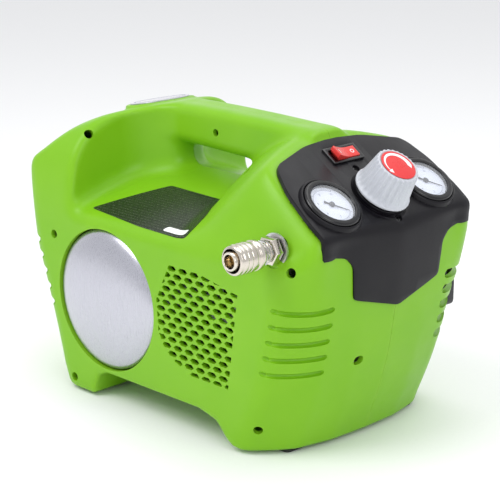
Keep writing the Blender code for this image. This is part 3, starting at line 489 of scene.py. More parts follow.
STEEL = metal("drawn_steel", (0.50, 0.50, 0.52), (0.60, 0.60, 0.62), 0.34, (1, 1, 1), 0.8)
BRASS = metal("machined_brass", (0.72, 0.50, 0.20), (0.80, 0.60, 0.30), 0.26, (1, 1, 5), 0.7)
COPPER = metal("copper_tube", (0.72, 0.36, 0.22), (0.80, 0.45, 0.30), 0.3, (1, 1, 1), 0.9)
ALLOY = metal("cast_alloy", (0.42, 0.43, 0.45), (0.52, 0.53, 0.55), 0.5, (1, 1, 1), 1.1, 0.00015)


def brushed_dome():
    """Silver lacquer over brushed metal: faint upright strokes with a soft sparkle."""
    mat, tree, shader, mm = node_material("brushed_silver_tank", (0.55, 0.55, 0.60), 0.30, 0.92)
    strokes = noise(tree, mm, 1.0, 4.0, 0.65, (2.2, 1.0, 0.06))
    fleck = noise(tree, mm, 0.35, 2.0, 0.7)
    cloud = noise(tree, mm, 34.0, 3.0, 0.5)
    tone = mix_colour(tree, ramp(tree, strokes, 0.3, 0.7, 0.0, 1.0), (0.49, 0.49, 0.545), (0.58, 0.58, 0.635))
    tone = mix_colour(tree, ramp(tree, cloud, 0.3, 0.7, 0.0, 0.35), tone, (0.54, 0.54, 0.61))
    link_colour(tree, shader, tone)
    rough = math_node(tree, "ADD", ramp(tree, strokes, 0.3, 0.7, 0.24, 0.32),
                      ramp(tree, fleck, 0.3, 0.7, -0.04, 0.04))
    tree.links.new(rough, shader.inputs["Roughness"])
    bump(tree, shader, strokes, 0.00001, 0.3)
    return mat


def dial_white():
    """Bluish-white enamel of the gauge dials."""
    mat, tree, shader, mm = node_material("dial_enamel", (0.74, 0.78, 0.88), 0.4)
    fine = noise(tree, mm, 0.5, 2.0)
    wide = noise(tree, mm, 14.0, 2.0)
    link_colour(tree, shader, mix_colour(tree, wide, (0.70, 0.75, 0.87), (0.80, 0.83, 0.92)))
    bump(tree, shader, fine, 0.00001, 0.4)
    return mat


def lens_clear():
    """Thin acrylic: mostly see-through, with a faint haze and its own gloss."""
    mat, tree, shader, mm = node_material("clear_acrylic", (0.96, 0.98, 1.0), 0.04)
    haze = noise(tree, mm, 6.0, 3.0)
    tree.links.new(ramp(tree, haze, 0.3, 0.7, 0.02, 0.08), shader.inputs["Roughness"])
    shader.inputs["Alpha"].default_value = 0.12
    return mat


LABEL_ROW = 3.1


def grey_label():
    """Dark film with rows of broken grey marks too small to be letters."""
    mat, tree, shader, mm = node_material("rating_film", (0.035, 0.05, 0.03), 0.3)
    split = tree.nodes.new("ShaderNodeSeparateXYZ")
    tree.links.new(mm, split.inputs[0])
    along, across = split.outputs[0], split.outputs[1]
    rows = math_node(tree, "MULTIPLY", across, 1 / LABEL_ROW)
    in_row = math_node(tree, "LESS_THAN", math_node(tree, "FRACT", rows), 0.34)
    cell = tree.nodes.new("ShaderNodeCombineXYZ")
    tree.links.new(math_node(tree, "MULTIPLY", along, 0.75), cell.inputs[0])
    tree.links.new(math_node(tree, "FLOOR", rows), cell.inputs[1])
    broken = noise(tree, cell.outputs[0], 1.0, 1.0)
    words = math_node(tree, "GREATER_THAN", broken, 0.52)
    mask = math_node(tree, "MULTIPLY", in_row, words)
    wide = noise(tree, mm, 30.0, 2.0)
    base = mix_colour(tree, wide, (0.010, 0.016, 0.008), (0.016, 0.024, 0.012))
    shader.inputs["Specular IOR Level"].default_value = 0.35
    faded = math_node(tree, "MULTIPLY", mask, 0.30)
    link_colour(tree, shader, mix_colour(tree, faded, base, (0.24, 0.28, 0.20)))
    fine = noise(tree, mm, 0.8, 2.0)
    tree.links.new(ramp(tree, fine, 0.3, 0.7, 0.24, 0.34), shader.inputs["Roughness"])
    return mat


SILVER = brushed_dome()
DIAL = dial_white()
LENS = lens_clear()
LABEL = grey_label()
SILVER_FOIL = metal("silver_badge_foil", (0.68, 0.68, 0.74), (0.76, 0.76, 0.80), 0.3, (1, 1, 1), 0.6, 0.00001)


# ---------------------------------------------------------------- housing as a field

def smax(a, b, k):
    """Maximum of two fields whose crossing is rounded over a width k: an outer corner."""
    h = np.clip(0.5 + 0.5 * (a - b) / k, 0, 1)
    return b * (1 - h) + a * h + k * h * (1 - h)


def smin(a, b, k):
    """Minimum of two fields, filleted: an inner corner."""
    return -smax(-a, -b, k)


def gaussian(values, sigma, axis=0):
    """Blur along an axis; the ends run on straight."""
    reach = int(3 * sigma + 1)
    weights = np.exp(-0.5 * (np.arange(-reach, reach + 1) / sigma) ** 2)
    weights /= weights.sum()
    values = np.moveaxis(values, axis, 0)
    steps = np.arange(1, reach + 1).reshape((-1,) + (1,) * (values.ndim - 1))
    start = values[0] + (values[0] - values[1]) * steps[::-1]
    stop = values[-1] + (values[-1] - values[-2]) * steps
    padded = np.concatenate([start, values, stop])
    result = sum(w * padded[i:i + len(values)] for i, w in enumerate(weights))
    return np.moveaxis(result, 0, axis)


def curve(points, sigma, low, high, step=0.5):
    """Smoothed table of a polyline. Returns (value, length of the gradient's normal) at any coordinate."""
    grid = np.arange(low, high + step, step)
    xs, ys = zip(*points)
    values = gaussian(np.interp(grid, xs, ys), sigma / step)
    slope = np.gradient(values, step)

    def at(x):
        return np.interp(x, grid, values), np.sqrt(1 + np.interp(x, grid, slope) ** 2)
    return at


class Sheet:
    """Smoothed table of x over |y| and z, read with bilinear interpolation."""

    LOW_Z = -20

    def __init__(self, levels, step=2.0, sigma_y=3.5, sigma_z=9.0):
        self.step = step
        ys = np.arange(0, 132 + step, step)
        zs = np.arange(self.LOW_Z, 290 + step, step)
        rows = []
        heights = [z for z, _ in levels]
        for _, points in levels:
            py, px = zip(*points)
            rows.append(np.interp(ys, py, px))
        table = np.array([np.interp(zs, heights, column) for column in np.array(rows).T]).T
        both_sides = np.concatenate([table[:, :0:-1], table], axis=1)
        both_sides = gaussian(gaussian(both_sides, sigma_y / step, 1), sigma_z / step, 0)
        table = both_sides[:, len(ys) - 1:]
        slope_z, slope_y = np.gradient(table, step)
        self.layers = (table, np.sqrt(1 + slope_z ** 2 + slope_y ** 2))
        self.shape = table.shape

    def at(self, y, z):
        """x at a place, and how much longer the surface's normal is than its X part."""
        fy = np.clip(y / self.step, 0, self.shape[1] - 1.001)
        fz = np.clip((z - self.LOW_Z) / self.step, 0, self.shape[0] - 1.001)
        iy, iz = fy.astype(int), fz.astype(int)
        ty, tz = fy - iy, fz - iz
        return [
            layer[iz, iy] * (1 - ty) * (1 - tz) + layer[iz, iy + 1] * ty * (1 - tz)
            + layer[iz + 1, iy] * (1 - ty) * tz + layer[iz + 1, iy + 1] * ty * tz
            for layer in self.layers
        ]


# height, wall rear x, wall front x, nose x at the parting line
HULL_LEVELS = (
    (3, -110, 108, 147), (8, -117, 111, 150), (43, -126, 128, 163), (78, -137, 140, 173),
    (105, -146, 146, 177), (130, -155, 152, 181), (150, -157.5, 153.5, 182.5), (172, -160, 155.5, 183.8),
    (205, -162, 158, 184), (275, -162, 158, 184),
)
REAR_BOW = 22.0
CORNER_Y = 74.0


def end_levels():
    """Outline of the nose and of the tail at each height, as (|y|, x) points."""
    nose_levels, tail_levels = [], []
    corner_width = SIDE_Y - CORNER_Y
    for z, rear, front, nose in HULL_LEVELS:
        low = max(0.0, min(1.0, (130 - z) / 127))
        full = 6 + 32 * max(0.0, min(1.0, (z - 105) / 65))
        corner = nose - 4 - 5 * low
        points = [(0, nose), (40, nose - 1.5), (CORNER_Y, corner)]
        for t in (0.2, 0.4, 0.6, 0.8):
            bulge = full * t * (1 - t)
            side = CORNER_Y + corner_width * t + bulge * (1 - t)
            points.append((side, corner + (front - corner) * t + bulge))
        points += [(SIDE_Y, front), (SIDE_Y + 25, front - 30)]
        nose_levels.append((z, points))
        tail = rear - REAR_BOW
        points = [(0, tail), (40, tail + 1.5), (CORNER_Y, tail + 4)]
        for t in (0.35, 0.7):
            bulge = 6 * t * (1 - t)
            side = CORNER_Y + corner_width * t + bulge
            points.append((side, tail + 4 + (rear - tail - 4) * t - bulge))
        points += [(SIDE_Y, rear), (SIDE_Y + 25, rear + 22)]
        tail_levels.append((z, points))
    return nose_levels, tail_levels


NOSE_LEVELS, TAIL_LEVELS = end_levels()
NOSE = Sheet(NOSE_LEVELS)
TAIL = Sheet(TAIL_LEVELS)

# Profiles across the width: the shoulders' roof, the front of the rear hump, and the rear hump's top
ROOF = curve([(y, 199 - 0.2 * y - 0.0009 * y * y) for y in range(0, 140, 10)], 3, 0, 140)
POCKET = curve(((0, -62), (18.5, -66), (24, -76), (34, -88), (50, -97), (75, -101), (100, -103), (130, -104)),
               5, 0, 140)
CROWN = curve(((0, 262), (50, 253), (66, 248), (80, 241.5), (90, 234.5), (100, 223), (108, 206),
               (111.5, 191), (125, 130)), 4, 0, 140)

# Profiles along the length: the top at the middle and at the sides, the handle's underside, the foot arch
TOP_CENTRE = curve(((-215, 190), (-186, 212), (-160, 231), (-134, 241), (-110, 248.5), (-84, 254.5),
                    (-60, 258.8), (-15, 259), (34, 258.5), (91, 257), (120, 253.5), (200, 253)), 7, -220, 220)
TOP_EDGE = curve(((-190, 185), (-163, 207), (-147, 218), (-122, 238), (-98, 249.5), (-80, 254), (-60, 257),
                  (-15, 257.5), (34, 256.5), (91, 255), (120, 252), (200, 251)), 7, -220, 220)
HANDLE_LOW = curve(((-130, 222), (-58, 222), (-15, 220.5), (34, 218.5), (70, 226), (102, 230)), 8, -220, 220)
ARCH = curve(((-90, -34), (-79, -30), (-78, 2), (-71, 22), (-60, 27), (60, 27), (81, 22), (93, 9.5),
              (105, 2), (109, -30), (120, -34)), 1.6, -220, 220)

HANDLE_HALF_WIDTH = 20
HANDLE_ROUND = 11
HANDLE_ENDS = (-130, 102)

# Corners of the front mass on one side; the panel's plane is one of its faces
FRONT_POINTS = (
    (23, 17, 216), (66, 23, 245.5), (94, 30, 255), (103, 54, 251), (109, 84, 243.5), (65, 60, 221),
    (108, 94, 227), (138, 90, 223), (180, 94, 193.5), (171, 99, 191), (37, 106, 165), (60, 113, 158),
    (150, 113, 160), (200, 92, 179.5), (200, 60, 179.5), (60, 113, 60), (200, 100, 60), (30, 60, 60),
)


def hull_planes(half):
    """Planes of the convex hull of the points and their mirror images: rows of normal and offset."""
    points = np.array([(x, s * y, z) for x, y, z in half for s in (1, -1)], float)
    planes = {}
    count = len(points)
    for i in range(count):
        for j in range(i + 1, count):
            for k in range(j + 1, count):
                normal = np.cross(points[j] - points[i], points[k] - points[i])
                size = np.linalg.norm(normal)
                if size < 1e-6:
                    continue
                normal /= size
                side = (points - points[i]) @ normal
                if side.max() < 1e-6 or side.min() > -1e-6:
                    if side.min() > -1e-6:
                        normal = -normal
                    key = tuple(np.round(normal, 3)) + (round(float(normal @ points[i]), 1),)
                    planes[key] = (*normal, normal @ points[i])
    return np.array(list(planes.values()))


FRONT_PLANES = hull_planes(FRONT_POINTS)


FRONT_BLEND = 3.0


def front_field(x, y, z):
    """Soft maximum of the front mass's planes."""
    total = 1e-30
    for a, b, c, d in FRONT_PLANES:
        total = total + np.exp(np.clip((a * x + b * y + c * z - d) / FRONT_BLEND, -40, 60))
    return FRONT_BLEND * np.log(total)


def handle_field(x, ay, z, top):
    """Bar with round edges from the rear hump to the front mass."""
    low, _ = HANDLE_LOW(x)
    across = ay - HANDLE_HALF_WIDTH + HANDLE_ROUND
    upright = np.abs(z - (top + low) / 2) - (top - low) / 2 + HANDLE_ROUND
    outside = np.sqrt(np.maximum(across, 0) ** 2 + np.maximum(upright, 0) ** 2)
    bar = outside + np.minimum(np.maximum(across, upright), 0) - HANDLE_ROUND
    return smax(bar, np.maximum(HANDLE_ENDS[0] - x, x - HANDLE_ENDS[1]), 4)


def slope_place(x, z, angle, centre_x, centre_z):
    """Distance down a slope and height above it, from its centre."""
    u = (x - centre_x) * math.cos(angle) - (z - centre_z) * math.sin(angle)
    height = (x - centre_x) * math.sin(angle) + (z - centre_z) * math.cos(angle)
    return u, height


def body_field(x, y, z):
    """Signed distance, near the surface, to the outside of the housing. Negative within it."""
    ay = np.abs(y)
    value, norm = ROOF(ay)
    body = (z - value) / norm
    wall, norm_wall = POCKET(ay)
    crown, norm_crown = CROWN(ay)
    rear = smax((x - wall) / norm_wall, (z - crown) / norm_crown, 9)
    body = smin(body, rear, 15)
    body = smin(body, front_field(x, y, z), 13)
    centre, norm_centre = TOP_CENTRE(x)
    edge, norm_edge = TOP_EDGE(x)
    body = smin(body, handle_field(x, ay, z, centre), 9)
    blend = np.interp(ay, (0, 60, 100, 120), (0, 0.4, 1, 1.15))
    top = (z - centre - (edge - centre) * blend) / np.maximum(norm_centre, norm_edge)
    body = smax(body, top, 5)
    nose, norm_nose = NOSE.at(ay, z)
    tail, norm_tail = TAIL.at(ay, z)
    body = smax(body, (x - nose) / norm_nose, 7)
    body = smax(body, (tail - x) / norm_tail, 7)
    body = smax(body, ay - SIDE_Y, 9)
    body = smax(body, 3 - z, 4)
    arch, norm_arch = ARCH(x)
    body = smax(body, (arch - z) / norm_arch, 4)
    u, height = slope_place(x, z, BADGE_SLOPE, BADGE_X, BADGE_Z)
    oval = (np.sqrt((u / 20) ** 2 + (y / 38) ** 2) - 1) * 24
    boss = smax(smax(oval, height - 3, 1.6), -height - 10, 1)
    return smin(body, boss, 2.5)


PANEL_OPENING_DEPTH = 18.0


def panel_opening(x, y, z):
    """Room for the control panel, a few millimetres inside its outline: negative within it."""
    u, height = slope_place(x, z, PANEL_TILT, PANEL_X, PANEL_Z)
    ay = np.abs(y)
    edge = np.interp(u, (-63, -59, -46, -40, -19, 14, 27), (0, 29, 68, 74, 82.5, 86, 85.5))
    plane = np.maximum(np.maximum(ay - edge, -62 - u), u - 30)
    chin_half = np.interp(z, (125.5, 139, 168, 176, 181, 187), (0, 48, 51, 59, 79, 85))
    chin = np.maximum(np.maximum(ay - chin_half, 125.5 - z), 168 - x)
    nose, norm = NOSE.at(ay, z)
    below_slope = -(height + PANEL_OPENING_DEPTH)
    below_nose = -(x - nose + PANEL_OPENING_DEPTH) / norm
    both = np.maximum(below_slope, below_nose)
    skin = np.where(z > 190, below_slope, np.where(z > 178, both, below_nose))
    return np.maximum(np.minimum(plane, chin), skin)


def shell_field(x, y, z):
    """The moulded wall, open under the control panel and round the drain valve."""
    outer = body_field(x, y, z)
    drain = np.where(z < 45, DRAIN_HOLE_RADIUS - np.hypot(x - TANK_X, y), -50)
    wall = np.maximum(outer, -outer - WALL)
    return np.maximum(np.maximum(wall, -panel_opening(x, y, z)), drain)


def surface_nets(field, low, high, step):
    """Closed quad mesh of the zero level of a field on a regular grid."""
    axes = [np.arange(a, b + step, step) for a, b in zip(low, high)]
    grid = np.empty([len(a) for a in axes], np.float32)
    ys, zs = np.meshgrid(axes[1], axes[2], indexing="ij")
    for i, x in enumerate(axes[0]):
        grid[i] = field(np.full_like(ys, x), ys, zs)
    grid[np.abs(grid) < 1e-5] = 1e-5
    inside = grid < 0
    shape = [n - 1 for n in grid.shape]
    total = np.zeros(shape + [3], np.float32)
    count = np.zeros(shape, np.float32)
    corners = [(i, j, k) for i in (0, 1) for j in (0, 1) for k in (0, 1)]

    def at(corner, source):
        i, j, k = corner
        return source[i:i + shape[0], j:j + shape[1], k:k + shape[2]]
    for a in corners:
        for axis in range(3):
            if a[axis]:
                continue
            b = tuple(1 if n == axis else a[n] for n in range(3))
            va, vb = at(a, grid), at(b, grid)
            crossed = (va < 0) != (vb < 0)
            t = np.where(crossed, va / np.where(crossed, va - vb, 1), 0)
            for n in range(3):
                total[..., n] += np.where(crossed, (a[n] + t * (b[n] - a[n])), 0)
            count += crossed
    active = count > 0
    index = np.full(shape, -1, np.int64)
    index[active] = np.arange(active.sum())
    cells = np.argwhere(active)
    vertices = (cells + total[active] / count[active][:, None]) * step + np.array(low)
    faces = []
    for axis in range(3):
        b, c = [n for n in range(3) if n != axis]
        first = [slice(None)] * 3
        second = [slice(None)] * 3
        first[axis], second[axis] = slice(0, -1), slice(1, None)
        sign_a, sign_b = inside[tuple(first)], inside[tuple(second)]
        where = np.argwhere(sign_a != sign_b)
        keep = (where[:, b] > 0) & (where[:, c] > 0) & (where[:, b] < shape[b]) & (where[:, c] < shape[c])
        where = where[keep]
        flip = sign_a[tuple(where.T)]
        quads = []
        for db, dc in ((-1, -1), (0, -1), (0, 0), (-1, 0)):
            cell = where.copy()
            cell[:, b] += db
            cell[:, c] += dc
            quads.append(index[tuple(cell.T)])
        quads = np.array(quads).T
        if axis == 1:
            flip = ~flip
        quads[~flip] = quads[~flip][:, ::-1]
        faces.append(quads)
    return vertices, np.concatenate(faces)


def project(vertices, field, rounds=3, fixed=None):
    """Newton steps that bring vertices onto the field's zero level; `fixed` ones keep their Y."""
    reach = 0.25
    for _ in range(rounds):
        x, y, z = vertices.T
        value = field(x, y, z)
        slope = np.stack([
            field(x + reach, y, z) - field(x - reach, y, z),
            field(x, y + reach, z) - field(x, y - reach, z),
            field(x, y, z + reach) - field(x, y, z - reach),
        ], 1) / (2 * reach)
        if fixed is not None:
            slope[fixed, 1] = 0
        move = value[:, None] * slope / np.maximum((slope ** 2).sum(1), 0.05)[:, None]
        size = np.linalg.norm(move, axis=1)
        vertices = vertices - move * np.minimum(1, 0.5 * VOXEL / np.maximum(size, 1e-9))[:, None]
    return vertices


def half_shell():
    """Vertices and quads of the near half of the housing."""
    low_y = PARTING - VOXEL * (math.floor(118 / VOXEL) + 0.5)

    def half(x, y, z):
        return np.maximum(shell_field(x, y, z), y - PARTING)
    vertices, faces = surface_nets(half, (-190.0, low_y, -1.0), (190.0, PARTING + 1.5 * VOXEL, 266.0), VOXEL)
    on_plane = np.abs(vertices[:, 1] - PARTING) < 0.55 * VOXEL
    vertices[on_plane, 1] = PARTING
    edge = on_plane & (np.abs(shell_field(*vertices.T)) < 0.8 * VOXEL)
    moved = project(vertices, shell_field, 3, on_plane)
    vertices = np.where((edge | ~on_plane)[:, None], moved, vertices)
    return vertices, faces


def mesh_from_arrays(name, vertices, faces):
    """Mesh of quads."""
    mesh = bpy.data.meshes.new(name)
    mesh.vertices.add(len(vertices))
    mesh.vertices.foreach_set("co", np.asarray(vertices, np.float32).ravel())
    mesh.loops.add(faces.size)
    mesh.loops.foreach_set("vertex_index", faces.astype(np.int32).ravel())
    mesh.polygons.add(len(faces))
    mesh.polygons.foreach_set("loop_start", np.arange(0, faces.size, 4, dtype=np.int32))
    mesh.update(calc_edges=True)
    mesh.validate()
    return mesh


# ---------------------------------------------------------------- housing cutters

GRILLE_FIELD = ((27, 147), (58, 146), (108, 137), (97, 54), (52, 54), (22, 66), (12, 84), (10, 112))
GRILLE_START = (2.2, 49.05)
GRILLE_PITCH_X = 13.7
GRILLE_PITCH_Z = 6.25
GRILLE_HALF_X = 5.6
GRILLE_HALF_Z = 2.35
SLOT_HEIGHTS = (77.0, 90.8, 104.6, 118.4, 132.2)
SCREW_HOLE_RADIUS = 4.1
SCREW_HOLES = ((-127, 111, 142), (-103.5, 111, 12.5), (132, 111, 21))
HUMP_SCREW_HOLES = ((50, 48, 222), (-93, 90, 236))


def clip_polygon(points, outline):
    """Part of a polygon within a convex outline that runs clockwise."""
    for (x0, z0), (x1, z1) in zip(outline, outline[1:] + outline[:1]):
        def side(p):
            return (x1 - x0) * (p[1] - z0) - (z1 - z0) * (p[0] - x0)
        result = []
        for p, q in zip(points, points[1:] + points[:1]):
            sp, sq = side(p), side(q)
            if sp <= 0:
                result.append(p)
            if (sp < 0 < sq) or (sq < 0 < sp):
                t = sp / (sp - sq)
                result.append((p[0] + t * (q[0] - p[0]), p[1] + t * (q[1] - p[1])))
        points = result
        if len(points) < 3:
            return []
    return points


def polygon_area(points):
    pairs = zip(points, points[1:] + points[:1])
    return 0.5 * abs(sum(x0 * z1 - x1 * z0 for (x0, z0), (x1, z1) in pairs))


def grille_cutters():
    """Long hexagonal holes in staggered rows, with the ones at the field's edge cut short."""
    hexagon = ((-1, 0), (-0.55, 1), (0.55, 1), (1, 0), (0.55, -1), (-0.55, -1))
    holes = []
    for row in range(17):
        z = GRILLE_START[1] + row * GRILLE_PITCH_Z
        for column in range(-1, 10):
            x = GRILLE_START[0] + (column + 0.5 * ((row + 1) % 2)) * GRILLE_PITCH_X
            shape = [(x + GRILLE_HALF_X * a, z + GRILLE_HALF_Z * b) for a, b in hexagon]
            shape = clip_polygon(shape, GRILLE_FIELD)
            if len(shape) >= 3 and polygon_area(shape) > 6:
                holes.append(plate(shape, -125, -100))
    return holes


def corner_path(table, z, y_from, y_to, outward, dip=0.0):
    """Points along the housing's skin round a corner at one height, moved outward by a little."""
    count = 14
    ys = np.linspace(y_from, y_to, count)
    xs, _ = table.at(np.abs(ys), np.full_like(ys, z))
    sign = 1 if table is NOSE else -1
    path = []
    for i, (x, y) in enumerate(zip(xs, ys)):
        t = i / (count - 1)
        side = math.copysign(min(abs(y), SIDE_Y), y) + math.copysign(outward * 0.6, y)
        path.append(Vector((x + sign * outward * 0.8, side, z - dip * 4 * t * (1 - t))))
    return path


def skin_hole(point, radius, depth=15.0, stretch=0.0, across=(1, 0, 0)):
    """Cutter square to the housing's skin at the place nearest to a point."""
    spot = project(np.array([point], float), body_field, 6)
    x, y, z = spot.T
    slope = np.array([(body_field(x + a, y + b, z + c) - body_field(x - a, y - b, z - c))[0]
                      for a, b, c in ((1, 0, 0), (0, 1, 0), (0, 0, 1))])
    normal = Vector(slope).normalized()
    side = (Vector(across) - normal * Vector(across).dot(normal)).normalized()
    matrix = Matrix((side, normal.cross(side), normal)).transposed().to_4x4()
    matrix.translation = Vector(spot[0])
    return prism(stadium(2 * radius + stretch, radius), matrix, -depth, 6)


def tank_hole(sign):
    return rod(TANK_HOLE_RADIUS, -10, 150, along_y(TANK_X, TANK_Z, sign), 128)


def screw_holes(spots, side):
    return [skin_hole((x, side * y, z), SCREW_HOLE_RADIUS) for x, y, z in spots]


def near_cutters():
    """Cutters in groups; no two in a group may meet."""
    shapes = grille_cutters()
    shapes.append(lathe(((0, 60), (9.5, 60), (9.5, 107.5), (14.5, 107.5), (15.5, 140), (0, 140)),
                        along_y(COUPLER_X, COUPLER_Z), 48))
    shapes += screw_holes(SCREW_HOLES + ((162, 106, 166),) + HUMP_SCREW_HOLES, -1)
    shapes.append(skin_hole((-12, -20, 238), 3.4, 9))
    shapes.append(skin_hole((-78, -62, 206), 4.4, 9, 11.0))
    shapes.append(skin_hole((178, -36, 78), 4.0, 9, 3.0, (0, 1, 0)))
    grooves = [tube(corner_path(NOSE, z, -114.0, -75.0, 0.2, 1.2), 4.1, 16, across=(0, 0, 1), squash=0.62)
               for z in SLOT_HEIGHTS]
    slots = [tube(corner_path(TAIL, z, -113.0, -84.0, -2.0), 4.2, 12) for z in SLOT_HEIGHTS]
    return [tank_hole(-1)], shapes, grooves, slots


def far_cutters():
    low, high = node_box("battery_pack")
    outline = rounded(rectangle(low.x - 1, low.z - 1, high.x + 1, high.z + 1), 6.0, 5)
    shapes = [plate(outline, 95, 130)] + screw_holes(SCREW_HOLES + HUMP_SCREW_HOLES[::-1], 1)
    slots = [tube(corner_path(NOSE, z, 113.0, 68.0, -2.5, 1.2), 4.6, 14) for z in SLOT_HEIGHTS]
    rear = [tube(corner_path(TAIL, z, 113.0, 84.0, -2.0), 4.2, 12) for z in SLOT_HEIGHTS]
    return [tank_hole(1)], shapes, slots, rear


def put(obj, body, slot, *nodes):
    """A piece rides on a body and stands for CAD nodes, which it hides; the slot is not used."""
    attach(obj, body)
    if nodes:
        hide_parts(*nodes)


def build_housing():
    vertices, faces = half_shell()
    for name, node, mirror, cutters in (("housing_near_skin", "housing_near_half", 1, near_cutters),
                                        ("housing_far_skin", "housing_far_half", -1, far_cutters)):
        points = vertices * np.array((1, mirror, 1)) * 0.001 + np.array(ORIGIN)
        quads = faces if mirror > 0 else faces[:, ::-1]
        obj = from_mesh(name, mesh_from_arrays(name, points, quads), GREEN, 30)
        for group in cutters():
            boolean(obj, merged(*group))
        paint(obj, GREEN)
        put(obj, "base", "green_plastic", node)


# ---------------------------------------------------------------- control panel

# The fold from the slope to the chin, and the chin, as (x, z) at the parting line
PANEL_CHIN = ((177.6, 195.2), (181.2, 191.5), (183.2, 186.5), (183.9, 179), (183.4, 160), (182.2, 140),
              (180, 100))
PANEL_FACE = 0.9
PANEL_BACK = -3.0


def panel_profile(height):
    """Cross-section of the panel in X and Z at a height above its plane."""
    slope = [panel_frame(u).translation for u in (-90, 12)]
    line = slope[:1] + smooth_path(slope[1:] + [Vector((x, 0, z)) for x, z in PANEL_CHIN], 3)
    result = []
    for i, point in enumerate(line):
        heading = (line[min(i + 1, len(line) - 1)] - line[max(i - 1, 0)]).normalized()
        normal = Vector((-heading.z, 0, heading.x))
        result.append(point + normal * height)
    return result


def nose_bow(y, z):
    """How far back the nose's face is at a place, measured from the parting line."""
    face, _ = NOSE.at(np.array([abs(y), 0.0]), np.full(2, min(z, 178.0)))
    return float(face[0]) - float(face[1])


def panel_blank():
    """The panel's skin before it is trimmed to its outline."""
    section = panel_profile(PANEL_FACE) + panel_profile(PANEL_BACK)[::-1]
    rings = []
    for y in np.linspace(-100, 100, 41):
        ring = []
        for p in section:
            weight = max(0.0, min(1.0, (194 - p.z) / 14))
            weight = weight * weight * (3 - 2 * weight) * (1 if abs(y) < 80 else 0.8)
            ring.append((p.x + nose_bow(y, p.z) * weight, y, p.z))
        rings.append(ring)
    bm = loft(rings)
    bmesh.ops.triangulate(bm, faces=[f for f in bm.faces if len(f.verts) > 4])
    return bm


def mirrored(half):
    """Closed outline from its +Y half."""
    return half + [(a, -b) for a, b in half[::-1] if b]


def panel_outline():
    """Solid whose sides are the panel's outline: one part square to the slope, one square to the chin."""
    half = [(-66.5, 0), (-63.5, 34), (-51.5, 73.5), (-44.5, 79), (-23.5, 86.5), (10, 90), (24, 89.4),
            (60, 89.4)]
    region = new_object("region", prism(rounded(mirrored(half), 7.0, 5), panel_frame(), -14, 14))
    chin = [(121.3, 0), (136.2, 52.5), (165, 55.5), (173.2, 63.5), (177, 82), (184, 89.4), (250, 89.4)]
    chin = rounded([(y, z) for z, y in mirrored(chin)], 4.0, 4)
    boolean(region, loft([[(x, y, z) for y, z in chin] for x in (166, 205)]), "UNION")
    solid = bmesh.new()
    solid.from_mesh(region.data)
    bmesh.ops.transform(solid, matrix=TO_WORLD.inverted(), verts=solid.verts)
    bpy.data.objects.remove(region, do_unlink=True)
    return solid


def build_panel():
    panel = new_object("control_panel_skin", panel_blank())
    boolean(panel, panel_outline(), "INTERSECT")
    collar = ((GAUGE_HOLE_RADIUS, -2), (28.4, -2), (28.0, 1.6), (26.8, 4.6), (25.1, 4.6), (25.1, 0.4),
              (GAUGE_HOLE_RADIUS, 0.4))
    collars = [lathe(rounded(collar, 0.8), panel_frame(0, y), 96) for y in (-GAUGE_Y, GAUGE_Y)]
    ring = rounded(((24.6, -2), (27.2, -2), (27.0, 0.7), (25.8, 1.2), (24.6, 0.7)), 0.4)
    collars.append(lathe(ring, panel_frame(KNOB_U, 0), 96))
    boolean(panel, merged(*collars), "UNION")
    holes = [rod(GAUGE_HOLE_RADIUS, -16, 20, panel_frame(0, y), 96) for y in (-GAUGE_Y, GAUGE_Y)]
    holes.append(rod(19.5, -16, 20, panel_frame(KNOB_U, 0), 96))
    holes.append(box(panel_frame(), ROCKER_U - 7.2, ROCKER_U + 7.2, -17.2, 15.2, -12, 12))
    seat = ((0, -12), (2.3, -12), (2.3, -1.6), (3.3, -1.2), (3.5, 6), (0, 6))
    holes += [lathe(seat, panel_frame(u, 0), 40) for u in SCREWS_U]
    boolean(panel, merged(*holes))
    soften(panel, 0.0006, 2, 35)
    paint(panel, BLACK)
    put(panel, "base", "black_plastic", "control_panel")


def build_panel_screws():
    """Dark cross-head screws, sunk in their holes."""
    head = ((0, -13.5), (1.6, -13.5), (1.6, -2.6), (2.9, -2.4), (2.9, -1.0), (2.2, -0.6), (0, -0.6))
    for node, u in zip(("panel_screw_rear", "panel_screw_front"), SCREWS_U):
        screw = new_object(node + "_head", lathe(head, panel_frame(u, 0), 32))
        boolean(screw, box(panel_frame(u, 0), -1.7, 1.7, -0.35, 0.35, -1.4, 1))
        boolean(screw, box(panel_frame(u, 0), -0.35, 0.35, -1.7, 1.7, -1.4, 1))
        paint(screw, GLOSS_BLACK)
        put(screw, "base", "steel", node)


# ---------------------------------------------------------------- gauges

NEEDLE_REST = math.radians(52)
DIAL_SWEEP = math.radians(270)
DIAL_PRINT = (2.82, 2.9)


def on_circle(radius, angle):
    return radius * math.cos(angle), radius * math.sin(angle)


def arc_band(inner, outer, start, stop, z0, z1, steps=60):
    """Flat curved band on a dial."""
    points = [on_circle(inner, a) for a in np.linspace(start, stop, steps)]
    points += [on_circle(outer, a) for a in np.linspace(stop, start, steps)]
    return prism(points, UPRIGHT, z0, z1)


def digit(text, radius, angle, size):
    """A numeral on the dial, as a bmesh."""
    data = bpy.data.curves.new("numeral", "FONT")
    data.body = text
    data.size = size
    data.align_x = "CENTER"
    data.align_y = "CENTER"
    data.extrude = 0.03
    data.resolution_u = 3
    obj = bpy.data.objects.new("numeral", data)
    bpy.context.scene.collection.objects.link(obj)
    bpy.context.view_layer.update()
    mesh = bpy.data.meshes.new_from_object(obj.evaluated_get(bpy.context.evaluated_depsgraph_get()))
    bm = bmesh.new()
    bm.from_mesh(mesh)
    place = Matrix.Translation((*on_circle(radius, angle), 2.86)) @ Matrix.Rotation(math.radians(90), 4, "Z")
    bmesh.ops.transform(bm, matrix=place, verts=bm.verts)
    bpy.data.objects.remove(obj, do_unlink=True)
    bpy.data.meshes.remove(mesh)
    return bm


